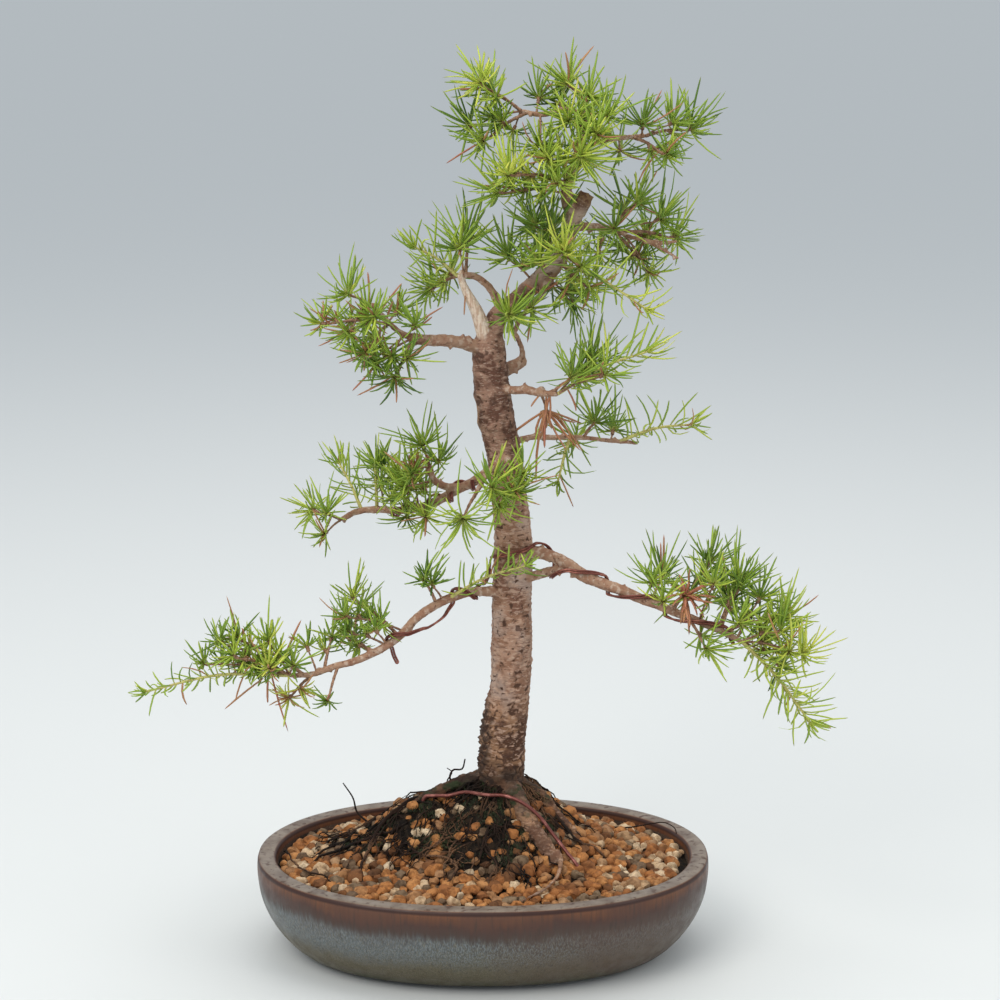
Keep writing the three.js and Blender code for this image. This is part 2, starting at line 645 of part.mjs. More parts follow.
function placeRoute(owner, route, radii, steps) {
  const curve = new THREE.CatmullRomCurve3(route.map(vector));
  const points = curve.getSpacedPoints(steps);
  for (let i = 0; i < steps; i += 1) {
    const share = curve.getUtoTmapping((i + 0.5) / steps) * (radii.length - 1);
    place(owner, points[i], points[i + 1], radii[Math.round(share)] + 0.2);
  }
}

// Forms of a spray: tufts on spurs along its twig, or single needles all along a new shoot
const TUFT = "tuft";
const SHOOT = "shoot";

// Each spray: name, the limb that carries it, its place along that limb, the reach of its twig, its form
const SPRAYS = [
  ["low_left_tip", "low_left", 1, [-74, -9, -4], SHOOT],
  ["low_left_end", "low_left", 0.94, [-36, 8, 18], TUFT],
  ["low_left_hang", "low_left", 0.9, [-14, 6, -15], TUFT],
  ["low_left_top", "low_left", 0.86, [3, 15, 13], TUFT],
  ["low_left_drop", "low_left", 0.8, [-5, -9, -16], TUFT],
  ["low_left_side", "low_left", 0.53, [-26, 17, 17], TUFT],
  ["low_left_back", "low_left", 0.66, [-16, 32, 1], TUFT],
  ["low_left_near", "low_left", 0.33, [-6, -8, 15], TUFT],
  ["low_left_cross", "low_left", 0.28, [45, -17, 24], SHOOT],
  ["low_right_near", "low_right", 0.62, [6, 17, 8], TUFT],
  ["low_right_front", "low_right", 0.77, [9, -16, -13], TUFT],
  ["low_right_up", "low_right", 0.74, [17, 19, 24], TUFT],
  ["low_right_full", "low_right", 0.9, [12, 9, 25], TUFT],
  ["low_right_end", "low_right", 0.92, [33, 6, 6], TUFT],
  ["low_right_droop", "low_right", 1, [38, -16, -43], SHOOT],
  ["mid_left_top", "mid_left_arm", 1, [-3, -8, 11], TUFT],
  ["mid_left_under", "mid_left", 0.5, [-3, -15, -4], TUFT],
  ["mid_left_end", "mid_left", 1, [-14, 5, 3], TUFT],
  ["mid_left_rise", "mid_left", 0.88, [-14, 13, 26], SHOOT],
  ["mid_left_up", "mid_left", 0.62, [-15, -12, 28], SHOOT],
  ["mid_front_low", "mid_front", 1, [-6, -9, -10], TUFT],
  ["mid_front_cross", "mid_front", 0.62, [14, -12, -6], TUFT],
  ["up_left_top", "up_left_twig", 1, [-8, -3, 4], TUFT],
  ["up_left_out", "up_left_twig", 0.45, [-37, 8, -1], TUFT],
  ["up_left_hang", "up_left", 0.96, [-8, -9, -18], TUFT],
  ["top_left_top", "top_left", 0.86, [1, 7, 17], TUFT],
  ["top_left_out", "top_left", 1, [-23, -10, 17], SHOOT],
  ["top_left_low", "top_left", 0.9, [-17, 14, -9], TUFT],
  ["right_mid_full", "right_mid", 0.9, [9, -9, 9], TUFT],
  ["right_mid_shoot", "right_mid", 1, [50, 0, 24], SHOOT],
  ["right_low_full", "right_low", 0.6, [5, -7, 9], TUFT],
  ["right_low_drop", "right_low", 0.5, [-7, -8, -24], SHOOT],
  ["right_low_shoot", "right_low", 0.86, [43, 7, 9], SHOOT],
  ["leader_low", "leader", 0.3, [-2, -20, -4], TUFT],
  ["leader_shoot", "leader", 0.66, [51, -20, -24], SHOOT],
  ["leader_front", "leader", 0.72, [1, -22, 3], TUFT],
  ["leader_back", "leader", 0.7, [-8, 32, 8], TUFT],
  ["right_upper_top", "right_upper", 0.8, [12, -8, 14], TUFT],
  ["right_upper_low", "right_upper", 0.74, [16, 12, -16], TUFT],
  ["right_upper_end", "right_upper", 1, [28, 6, -4], TUFT],
  ["apex_left_out", "apex_left", 0.9, [-22, -7, -14], TUFT],
  ["apex_left_top", "apex_left", 1, [-15, 6, 9], TUFT],
  ["apex_front", "apex", 0.3, [-32, -26, 6], TUFT],
  ["apex_top", "apex", 1, [-9, 2, 9], TUFT],
  ["apex_back_end", "apex_back", 1, [3, 16, 1], TUFT],
  ["apex_right_low", "apex_right", 0.8, [16, -14, -8], TUFT],
  ["apex_right_out", "apex_right", 1, [24, 6, 3], TUFT],
];

// Bunches of dead needles: name, limb, place along it, reach
const DRY_BUNCHES = [
  ["dry_low_right", "low_right", 0.71, [5, -11, 11]],
  ["dry_right_mid", "right_mid", 0.72, [3, 7, -9]],
];

// A straight three-sided needle with its root at `from`
function needleSolid(from, direction, length) {
  const needle = new THREE.ConeGeometry(NEEDLE_WIDTH / Math.sqrt(3), length, 3, 1);
  needle.translate(0, length / 2, 0);
  const turn = new THREE.Quaternion().setFromUnitVectors(new THREE.Vector3(0, 1, 0), direction);
  needle.applyQuaternion(turn);
  needle.translate(from.x, from.y, from.z);
  return solidOf(needle);
}

// A direction leaning by `lean` radians from an axis, at a bearing round it
function leaning(axis, lean, bearing) {
  const side = Math.abs(axis.z) > 0.9 ? new THREE.Vector3(1, 0, 0) : new THREE.Vector3(0, 0, 1);
  const across = side.cross(axis).normalize();
  const over = axis.clone().cross(across);
  const out = across.multiplyScalar(Math.cos(bearing)).addScaledVector(over, Math.sin(bearing));
  return axis.clone().multiplyScalar(Math.cos(lean)).addScaledVector(out, Math.sin(lean)).normalize();
}

// Tries a needle near its ideal lean and bearing until it is clear of its neighbours
function growNeedle(owner, from, axis, lean, bearing, length) {
  for (let attempt = 0; attempt < NEEDLE_TRIES; attempt += 1) {
    const slack = attempt / NEEDLE_TRIES;
    const direction = leaning(axis, lean + draw(-0.5, 0.5) * (0.3 + slack), bearing + draw(-1, 1) * (0.2 + slack));
    const reach = length * draw(0.9, 1.05) * (1 - 0.35 * slack);
    const tip = from.clone().addScaledVector(direction, reach);
    if (isClear(owner, from, tip, NEEDLE_WIDTH / 2)) {
      place(owner, from.clone().lerp(tip, 0.3), tip, NEEDLE_WIDTH / 2);
      return needleSolid(from, direction, reach);
    }
  }
  return null;
}

const GOLDEN_ANGLE = Math.PI * (3 - Math.sqrt(5));

// The twig of a spray: from inside its limb, lifted a little at mid way, to its tip
function twigRoute([, limb, share, reach]) {
  const { point } = onLimb(limb, share);
  const whole = vector(reach);
  const middle = point.clone().addScaledVector(whole, 0.5).add(new THREE.Vector3(0, 0, whole.length() * 0.06));
  return [point.toArray(), middle.toArray(), point.clone().add(whole).toArray()];
}

function tuftNeedles(name, centre, axis, count, length) {
  const needles = [];
  for (let i = 0; i < count; i += 1) {
    const lean = Math.acos(1 - (1.45 * (i + 0.5)) / count);
    const direction = leaning(axis, lean, i * GOLDEN_ANGLE);
    const root = centre.clone().addScaledVector(direction, SPUR * 0.25);
    needles.push(growNeedle(name, root, axis, lean, i * GOLDEN_ANGLE, length));
  }
  return needles;
}

function shootNeedles(name, curve, length) {
  const needles = [];
  const count = Math.round(curve.getLength() / SHOOT_PITCH) + 4;
  for (let i = 0; i < count; i += 1) {
    const share = 0.16 + (0.84 * i) / (count - 1);
    const root = curve.getPointAt(share);
    const lean = THREE.MathUtils.lerp(1.15, 0.45, share ** 3);
    needles.push(growNeedle(name, root, curve.getTangentAt(share), lean, i * GOLDEN_ANGLE, length));
  }
  return needles;
}

// A spray: its slim twig with spurs, and the needles rooted well inside them
function spraySolid(entry, fatWood, fatWires, needlesPerTuft) {
  const [name, , , reach, form] = entry;
  const route = twigRoute(entry);
  const curve = new THREE.CatmullRomCurve3(route.map(vector));
  const length = vector(reach).length();
  const taper = [CORE_RADIUS * 1.2, CORE_RADIUS, CORE_RADIUS * 0.8];
  const bodies = [taperedTube(route, taper, { sides: 4, steps: length > 30 ? 4 : 2 })];
  if (form === SHOOT) bodies.push(...shootNeedles(name, curve, SHOOT_NEEDLE));
  else {
    const tufts = length > 36 ? 2 : 1;
    for (let tuft = 0; tuft < tufts; tuft += 1) {
      const share = tuft === 0 ? 1 : 0.5;
      const centre = curve.getPointAt(share);
      const spur = new THREE.BoxGeometry(SPUR, SPUR, SPUR).translate(...centre.toArray());
      bodies.push(solidOf(spur));
      const axis = curve.getTangentAt(share).add(new THREE.Vector3(0, 0, 0.35)).normalize();
      const count = tuft === 0 ? needlesPerTuft : needlesPerTuft - 3;
      bodies.push(...tuftNeedles(name, centre, axis, count, TUFT_NEEDLE));
    }
  }
  const grown = joined(bodies.filter((body) => body !== null));
  return biggest(grown.subtract(fatWood).subtract(fatWires));
}

// The object as a scene graph of named pieces
const group = new THREE.Group();
function addPiece(name, geometry, color, roughness, metalness = 0) {
  const piece = new THREE.Mesh(geometry, new THREE.MeshStandardMaterial({ color, roughness, metalness }));
  piece.name = name;
  group.add(piece);
}

const wood = woodSolid(0);
const fatWood = woodSolid(GAP);

addPiece("pot", geometryOf(potSolid()), COLOURS.glaze, 0.4);
addPiece("screen_left", geometryOf(screenSolid(-DRAIN_X)), COLOURS.screen, 0.7);
addPiece("screen_right", geometryOf(screenSolid(DRAIN_X)), COLOURS.screen, 0.7);
addPiece("clip_left", geometryOf(clipSolid(-DRAIN_X)), COLOURS.clip, 0.4, 1);
addPiece("clip_right", geometryOf(clipSolid(DRAIN_X)), COLOURS.clip, 0.4, 1);
addPiece("tree_wood", geometryOf(wood), COLOURS.bark, 0.85);

const tieWire = tieSolid(WIRE_DIAMETER).subtract(fatWood);
addPiece("tie_wire", geometryOf(biggest(tieWire)), COLOURS.wire, 0.4, 1);
addPiece("soil", geometryOf(soilSolid(fatWood, tieSolid(WIRE_DIAMETER + 3 * GAP))), COLOURS.soil, 0.95);

const fatWires = [];
for (const [name, { route, steps }] of Object.entries(WIRES)) {
  const wire = solidOf(wireGeometry(route, WIRE_DIAMETER, 5, steps)).subtract(fatWood);
  fatWires.push(solidOf(wireGeometry(route, WIRE_DIAMETER + 2 * GAP, 5, steps)));
  addPiece(name, geometryOf(biggest(wire)), COLOURS.wire, 0.4, 1);
  placeRoute(name, route, [WIRE_DIAMETER / 2, WIRE_DIAMETER / 2], steps);
}

for (const { route, radii } of Object.values(LIMBS)) placeRoute("tree_wood", route, radii, 3 * route.length);
for (const entry of [...SPRAYS, ...DRY_BUNCHES]) placeRoute(entry[0], twigRoute(entry), [CORE_RADIUS, CORE_RADIUS], 4);

const allWires = joined(fatWires);
for (const entry of SPRAYS) {
  const spray = spraySolid(entry, fatWood, allWires, TUFT_NEEDLES);
  addPiece(`spray_${entry[0]}`, geometryOf(spray), COLOURS.needle, 0.6);
}
for (const entry of DRY_BUNCHES) {
  const bunch = spraySolid(entry, fatWood, allWires, DRY_NEEDLES);
  addPiece(`needles_${entry[0]}`, geometryOf(bunch), COLOURS.dry, 0.7);
}

export default group;
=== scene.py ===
"""Looks of a european larch bonsai in an oval glazed pot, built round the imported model.

The tables hold millimetres, as the part's source does, and MM turns them into metres.
"""

import logging
import math
from dataclasses import dataclass, field
from enum import Enum
from functools import partial

import bpy
import numpy as np
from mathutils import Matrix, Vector, noise


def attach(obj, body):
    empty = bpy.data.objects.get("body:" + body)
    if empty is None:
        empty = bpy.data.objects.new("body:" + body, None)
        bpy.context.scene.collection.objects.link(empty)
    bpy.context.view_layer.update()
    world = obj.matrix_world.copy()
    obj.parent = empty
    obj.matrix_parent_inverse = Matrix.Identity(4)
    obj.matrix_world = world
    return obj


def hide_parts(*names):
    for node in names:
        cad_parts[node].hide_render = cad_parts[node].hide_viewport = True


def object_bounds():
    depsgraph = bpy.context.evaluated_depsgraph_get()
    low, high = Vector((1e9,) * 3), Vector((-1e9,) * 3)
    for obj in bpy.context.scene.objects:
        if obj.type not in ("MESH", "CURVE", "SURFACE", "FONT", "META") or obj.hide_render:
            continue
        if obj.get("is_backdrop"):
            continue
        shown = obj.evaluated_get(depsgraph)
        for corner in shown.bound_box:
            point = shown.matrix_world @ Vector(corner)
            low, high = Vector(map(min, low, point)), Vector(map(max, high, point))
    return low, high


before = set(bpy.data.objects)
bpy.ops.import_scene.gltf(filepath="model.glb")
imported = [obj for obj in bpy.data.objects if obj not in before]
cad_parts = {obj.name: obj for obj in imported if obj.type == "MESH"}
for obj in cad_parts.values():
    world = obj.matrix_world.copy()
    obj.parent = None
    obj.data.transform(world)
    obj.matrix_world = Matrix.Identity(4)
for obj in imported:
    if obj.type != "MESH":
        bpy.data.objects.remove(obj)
CAD_BOX = [list(corner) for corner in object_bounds()]

log = logging.getLogger("larch")

MM = 0.001
GOLDEN_ANGLE = math.pi * (3 - math.sqrt(5))

# The pot, the soil and the wires, as in the part's source
HALF_LENGTH = 135
HALF_WIDTH = 98
POT_HEIGHT = 58
RIM_WIDTH = 10.5
OVAL_POWER = 2.15
OVAL_STEP = HALF_LENGTH - HALF_WIDTH
EVEN_REACH = 60
DRAIN_X = 58
DRAIN_RADIUS = 12
WIRE_HOLE_X = 30
WIRE_HOLE_RADIUS = 3
SOIL_LEVEL = 54
MOUND_RISE = 44
MOUND_SPREAD = 51
MOUND_TOP = (9, 17)
SHOULDER_RISE = 17
SHOULDER_TOP = (-47, 14)
SHOULDER_LEFT = 30
SHOULDER_RIGHT = 22
SHOULDER_WIDTH = 26
WIRE_DIAMETER = 2.5
GAP = 0.35
TRUNK_X = 11
TRUNK_Y = 16
TRUNK_BASE = 52
TRUNK_TOP = 376


class Form(Enum):
    """How a spray carries its needles."""

    TUFT = "rosettes on spurs"
    SHOOT = "single needles along a new shoot"


@dataclass(frozen=True)
class Limb:
    """One limb of the tree: its route, its radii, the age of its bark and how bare its wood is."""

    route: tuple
    radii: tuple
    age: float
    bare: float = 0.0


@dataclass(frozen=True)
class Spray:
    """One spray: where it grows, its twig, its tone, how full and long it is, its share of rusty needles.
    Its tone is partly the needles' age and partly painted shade, as many sprays at the back get darker,
    bluer tones.
    """

    name: str
    limb: str
    share: float
    reach: tuple
    tone: float = 0.45
    fullness: float = 1.0
    long: float = 1.0
    rusty: float = 0.02

    @property
    def form(self) -> Form:
        """Tells how it carries its needles."""
        return Form.SHOOT if self.name in SHOOTS else Form.TUFT

    def start(self, routes: dict) -> np.ndarray:
        """Returns the point on its limb that it grows from."""
        return routes[self.limb].points_at([self.share])[0]


def sprays(*groups: tuple) -> tuple:
    """Makes sprays from rows that are grouped by limb.

    Args:
        groups: a limb, the name that its rows share, and the rows, each with its own name or number first.

    Returns:
        The sprays.
    """
    made = []
    for limb, shared, *rows in groups:
        for own, *numbers in rows:
            made.append(Spray(f"{shared}_{own}", limb, *numbers))
    return tuple(made)


LIMBS = {
    "trunk": Limb((
        (11, 17, 52), (11, 16, 78), (11, 16, 98), (12, 15, 120), (14, 14, 138), (16, 13, 156),
        (17, 12, 182), (17, 11, 210), (18, 10, 243), (16, 9, 270), (13, 7, 297), (8, 6, 320), (5, 5, 343),
        (4, 4, 362), (5, 4, 376),
    ), (20, 17.5, 14.5, 13.3, 13, 12.1, 12.4, 11.9, 11.4, 10.6, 10.2, 10.7, 10.2, 9.6, 6), 1),
    "leader": Limb((
        (4, 4, 364), (9, 4, 379), (18, 2, 388), (27, 0, 396), (36, -2, 406), (43, -4, 415), (49, -4, 427),
        (53, -4, 441),
    ), (7, 6, 5.4, 5.2, 5, 4.8, 4.7, 4.8), 0.78),
    "snag": Limb(((52, -4, 437), (56, -2, 444), (59, 0, 450)), (4.8, 5.4, 4.6), 0.85),
    "apex": Limb((
        (52, -4, 438), (48, -6, 446), (48, -4, 455), (52, -2, 465), (55, 0, 478), (57, 2, 490),
        (59, 4, 500),
    ), (4.2, 3.6, 3.2, 2.9, 2.5, 2.1, 1.6), 0.6),
    "apex_left": Limb(((58, 3, 492), (48, 2, 497), (34, 0, 494), (22, 0, 496)), (1.9, 1.7, 1.6, 1.3), 0.35),
    "apex_right": Limb((
        (54, 0, 473), (66, -2, 479), (78, -1, 481), (92, 2, 482),
    ), (2.1, 1.8, 1.6, 1.3), 0.35),
    "apex_back": Limb(((56, 1, 482), (55, 12, 488), (58, 24, 490)), (2, 1.8, 1.4), 0.35),
    "right_upper": Limb((
        (51, -4, 432), (60, 2, 431), (69, 8, 430), (80, 14, 427),
    ), (3.2, 2.4, 2.1, 1.6), 0.45),
    "top_left": Limb(((11, 3, 385), (3, 0, 398), (-6, -3, 404), (-14, -5, 404)), (2.6, 2.2, 2, 1.5), 0.45),
    "jin": Limb(((2, 1, 368), (-3, -2, 383), (-9, -4, 395), (-13, -6, 405)), (5, 3.8, 2.6, 1.7), 0.5, 1),
    "up_left": Limb((
        (4, 4, 360), (-7, -2, 364), (-18, -7, 367), (-30, -12, 368), (-41, -16, 370),
    ), (5, 3.9, 3.5, 3.4, 3.2), 0.62),
    "up_left_twig": Limb((
        (-38, -14, 369), (-48, -14, 374), (-57, -18, 384), (-65, -22, 391),
    ), (2, 1.7, 1.5, 1.2), 0.3),
    "right_stub": Limb(((7, 6, 346), (17, 12, 349), (24, 18, 352)), (4.4, 3.8, 3.4), 0.6),
    "right_mid": Limb((
        (8, 4, 339), (17, -3, 338), (26, -9, 339), (34, -15, 338), (43, -22, 339),
    ), (3, 2.5, 2.6, 2.1, 1.7), 0.45),
    "right_low": Limb((
        (13, 8, 304), (28, 15, 307), (40, 20, 306), (56, 26, 305), (76, 31, 302), (92, 35, 300),
    ), (2.4, 1.8, 1.7, 1.5, 1.4, 1.2), 0.3),
    "mid_left": Limb((
        (14, 8, 296), (4, 15, 287), (-6, 21, 279), (-16, 26, 273), (-27, 29, 266), (-39, 32, 261),
        (-52, 35, 259), (-65, 38, 259), (-76, 40, 257), (-85, 41, 252),
    ), (4, 3.2, 2.9, 2.9, 2.8, 2.6, 2.4, 2.2, 2, 1.7), 0.5),
    "mid_left_arm": Limb((
        (-14, 25, 275), (-23, 20, 277), (-29, 17, 282), (-31, 15, 290),
    ), (2.6, 2.4, 2.1, 1.8), 0.35),
    "mid_front": Limb((
        (14, 4, 300), (8, -8, 296), (1, -17, 289), (-4, -25, 281),
    ), (2.8, 2, 1.7, 1.3), 0.35),
    "low_left": Limb((
        (16, 10, 214), (3, 4, 217), (-7, -1, 218), (-18, -6, 216), (-28, -10, 212), (-38, -14, 206),
        (-46, -18, 198), (-54, -21, 192), (-64, -24, 187), (-75, -27, 183), (-86, -30, 181),
        (-98, -32, 177), (-111, -34, 177),
    ), (4.2, 3, 2.8, 2.8, 2.7, 2.6, 2.6, 2.5, 2.4, 2.2, 2, 1.8, 1.5), 0.45),
    "low_right": Limb((
        (18, 9, 237), (30, 3, 241), (40, -3, 240), (49, -8, 237), (58, -12, 231), (69, -16, 227),
        (80, -20, 224), (91, -24, 220), (101, -27, 217), (112, -31, 213), (122, -34, 210), (135, -38, 205),
        (148, -40, 199),
    ), (4.6, 3.8, 3.5, 3.5, 3.9, 3.5, 3.2, 3, 2.8, 2.6, 2.3, 2, 1.6), 0.55),
    "low_right_fork": Limb((
        (18, 10, 222), (30, 2, 227), (40, -3, 231), (52, -9, 235),
    ), (4, 3, 2.8, 2.6), 0.5),
    "root_front": Limb((
        (13, 14, 96), (19, -1, 91), (25, -13, 85), (32, -22, 76), (38, -29, 69), (41, -36, 62),
    ), (10, 7, 5.4, 5, 4.6, 2.6), 0.8),
    "root_left": Limb((
        (10, 17, 96), (-6, 16, 97), (-18, 14, 94), (-30, 12, 90), (-42, 9, 85),
    ), (9, 5, 3.8, 3, 1.8), 0.9),
    "root_right": Limb((
        (14, 16, 95), (27, 13, 93), (36, 9, 88), (44, 3, 80), (52, -2, 73), (61, -4, 65),
    ), (9, 4.2, 3.4, 3, 2.6, 1.6), 0.85),
    "root_back": Limb(((10, 18, 95), (4, 32, 92), (0, 44, 83), (-4, 54, 71)), (9, 5, 3.6, 1.8), 0.9),
    "cross_twig": Limb((
        (48, 2, 413), (38, -4, 400), (31, -8, 391), (24, -8, 383), (20, -6, 376), (18, -4, 369),
    ), (1.7, 1.8, 1.7, 1.6, 1.6, 1.5), 0.3),
    "end_twig": Limb((
        (76, 12, 428), (84, 7, 425), (94, 4, 423), (101, 2, 422), (111, 0, 423),
    ), (1.4, 1.3, 1.25, 1.2, 0.95), 0.3),
    "end_twig_fork": Limb(((93, 4, 423), (103, 2, 418), (112, 0, 413)), (1.1, 1.05, 0.85), 0.3),
    "stub_twig": Limb((
        (23, 17, 352), (23, 13, 359), (20, 8, 367), (17, 4, 373),
    ), (2.2, 1.6, 1.5, 1.3), 0.3),
    "front_stub": Limb((
        (7, 1, 286), (9, -2, 291), (12, -4, 295), (15, -5, 299),
    ), (2.6, 2.6, 2.5, 2.4), 0.3, 0.55),
    "root_tip": Limb((
        (40, -33, 65), (43.6, -32.4, 69), (45.3, -36.1, 66.1), (45.1, -42.3, 63.5), (43.2, -50.5, 61.1),
        (39.5, -59.2, 59.6), (34.2, -66.9, 58.4), (27.9, -72.7, 57.6), (21.6, -77.4, 55.9),
    ), (2.9, 2.2, 1.7, 1.4, 1.25, 1.1, 1, 0.9, 0.75), 0.72),
}

SHOOTS = (
    "low_left_tip", "low_left_cross", "low_right_droop", "mid_left_rise", "mid_left_up", "top_left_out",
    "right_mid_shoot", "right_low_drop", "right_low_shoot", "leader_shoot", "mid_left_more_1",
)

# the number after each reach is the spray's tone: partly the needles' age, partly painted shade, lower on
# many sprays at the back
SPRAYS = sprays(
    ("low_left", "low_left",
        ("tip", 1, (-81, -9, -7), 0.66, 1.15, 0.95), ("end", 0.94, (-36, 8, 18), 0.55),
        ("hang", 0.9, (-14, 6, -15), 0.85, 1.1, 1.1, 0.35), ("top", 0.86, (3, 15, 13), 0.5),
        ("drop", 0.8, (-5, -9, -16), 0.3, 1, 0.75), ("side", 0.53, (-26, 17, 17)),
        ("back", 0.66, (-16, 32, 1)), ("near", 0.33, (-6, -8, 15), 0.4),
        ("cross", 0.28, (45, -17, 24), 0.6)),
    ("low_right", "low_right",
        ("near", 0.62, (6, 17, 8), 0.3), ("front", 0.77, (9, -16, -13), 0.5),
        ("up", 0.74, (17, 19, 24), 0.35), ("full", 0.9, (12, 9, 25), 0.4), ("end", 0.92, (33, 6, 6), 0.6),
        ("droop", 1, (38, -16, -43), 0.75, 1.9, 1.3)),
    ("mid_left_arm", "mid_left", ("top", 1, (-3, -8, 11), 0.5)),
    ("mid_left", "mid_left",
        ("under", 0.5, (-3, -15, -4), 0.6), ("end", 1, (-14, 5, 3), 0.7),
        ("rise", 0.88, (-14, 13, 26), 0.62), ("up", 0.62, (-15, -12, 28), 0.55)),
    ("mid_front", "mid_front",
        ("low", 1, (-6, -9, -10), 0.6, 1.1, 1.35), ("cross", 0.62, (14, -12, -6), 0.5)),
    ("up_left_twig", "up_left",
        ("top", 1, (-8, -3, 4), 0.6, 1, 1.15), ("out", 0.45, (-37, 8, -1), 0.5, 0.9, 0.8, 0.15)),
    ("up_left", "up_left", ("hang", 0.96, (-8, -9, -18), 0.35, 1.1, 1.15, 0.08)),
    ("top_left", "top_left",
        ("top", 0.86, (1, 7, 17)), ("out", 1, (-23, -10, 17), 0.65), ("low", 0.9, (-17, 14, -9))),
    ("right_mid", "right_mid", ("full", 0.9, (9, -9, 9), 0.35), ("shoot", 1, (50, 0, 24), 0.75)),
    ("right_low", "right_low",
        ("full", 0.6, (5, -7, 9), 0.4), ("drop", 0.5, (-7, -8, -24), 0.5),
        ("shoot", 0.86, (43, 7, 9), 0.75)),
    ("leader", "leader",
        ("low", 0.3, (-2, -20, -4)), ("shoot", 0.66, (51, -20, -24), 0.85),
        ("front", 0.72, (1, -22, 3), 0.75), ("back", 0.7, (-8, 32, 8), 0.3)),
    ("right_upper", "right_upper",
        ("top", 0.8, (12, -8, 14), 0.35), ("low", 0.74, (16, 12, -16), 0.4), ("end", 1, (28, 6, -4))),
    ("apex_left", "apex_left", ("out", 0.9, (-22, -7, -14)), ("top", 1, (-15, 6, 9), 0.4)),
    ("apex", "apex", ("front", 0.3, (-32, -26, 6), 0.8), ("top", 1, (-9, 2, 9), 0.6)),
    ("apex_back", "apex_back", ("end", 1, (3, 16, 1), 0.4)),
    ("apex_right", "apex_right", ("low", 0.8, (16, -14, -8), 0.4), ("out", 1, (24, 6, 3))),
)

DRY_BUNCHES = sprays(
    ("low_right", "dry_low", ("right", 0.71, (5, -11, 11))),
    ("right_mid", "dry_right", ("mid", 0.72, (3, 7, -9), 0.45, 0.42, 1.25)),
)

# Single rusty needles, each from its foot to its tip, and how far its foot may move to reach a twig
LOOSE_REACH = 14.0
LOOSE_NEEDLES = (
    ((124.4, -22, 215), (115.7, -25, 241.8)), ((121.9, -24, 215.5), (140.3, -27, 231.7)),
    ((156.5, -26, 204.1), (181.7, -29, 217.4)), ((174.7, -30, 198.1), (194.9, -33, 220.8)),
    ((149, -20, 206.1), (150.6, -23, 226)),
    ((127, -10, 191.4), (124.6, -13, 216.2)), ((163.7, 6, 193), (182.2, 3, 218.2)),
    ((-139.9, -26, 189.8), (-135.2, -29, 207.9)), ((-110.1, -24, 188.1), (-107.8, -27, 206.2)),
    ((-127.2, -30, 171.8), (-149.7, -33, 157.7)), ((-122.5, -30, 175.4), (-125.6, -33, 152.2)),
    ((-123.5, -30, 185), (-119.9, -33, 155.2)), ((-8.3, 4, 504.1), (-17.3, 1, 507.6)),
    ((120.7, -4, 475.7), (129.9, -7, 483.6)), ((101.6, -6, 468.6), (84.7, -9, 459.3)),
    ((-4.4, -4, 475.7), (-16.7, -7, 471.4)), ((36.7, -10, 408.9), (23.7, -13, 422.8)),
    ((36.9, -8, 390.5), (24.9, -11, 400)), ((32.9, -8, 387.1), (25.5, -11, 373.8)),
    ((39.7, -8, 392.8), (49.7, -11, 402.2)), ((41, -12, 334.9), (33, -15, 315.1)),
    ((44.5, -10, 333.4), (40.5, -13, 316.5)), ((53.1, -8, 334.2), (62.3, -11, 320.8)),
    ((37.6, -10, 334.5), (25.6, -13, 328.1)), ((48, -6, 331.5), (49.2, -9, 314.6)),
    ((-26.9, -4, 266.6), (-27.5, -7, 248.2)), ((-24.3, -10, 287.9), (-17.3, -13, 300.2)),
    ((-91.4, 36, 252.9), (-98.6, 33, 237.6)), ((-21, -6, 287.1), (-8.2, -9, 279.5)),
    ((-26.2, -10, 367.9), (-39.7, -13, 361.5)), ((-46.3, -16, 371.1), (-59.9, -19, 356.7)),
    ((-52, -18, 390), (-44, -21, 403)), ((-61, -20, 392), (-62, -23, 405)),
    ((-36, -16, 374), (-25, -19, 382)),
    ((-77, -14, 364), (-88, -17, 360)), ((-62, -18, 350), (-73, -21, 339)),
    ((-54, -20, 347), (-67, -23, 337)),
    ((-10, -8, 394), (-10, -11, 380)), ((-48, -22, 363), (-60, -25, 355)),
    ((-51, -20, 380), (-50, -23, 392)),
    ((-69, -14, 374), (-86, -17, 370)), ((-86, -14, 379), (-94, -17, 383)),
    ((-60, -14, 339), (-63, -17, 326)),
    ((44, -10, 336), (34, -13, 315)), ((50, -12, 337), (59, -15, 323)), ((62, -10, 333), (74, -13, 322)),
    ((73, 20, 287), (69, 17, 274)), ((76, 18, 294), (78, 15, 282)),
)

# Sprays that fill the crown between the modelled ones

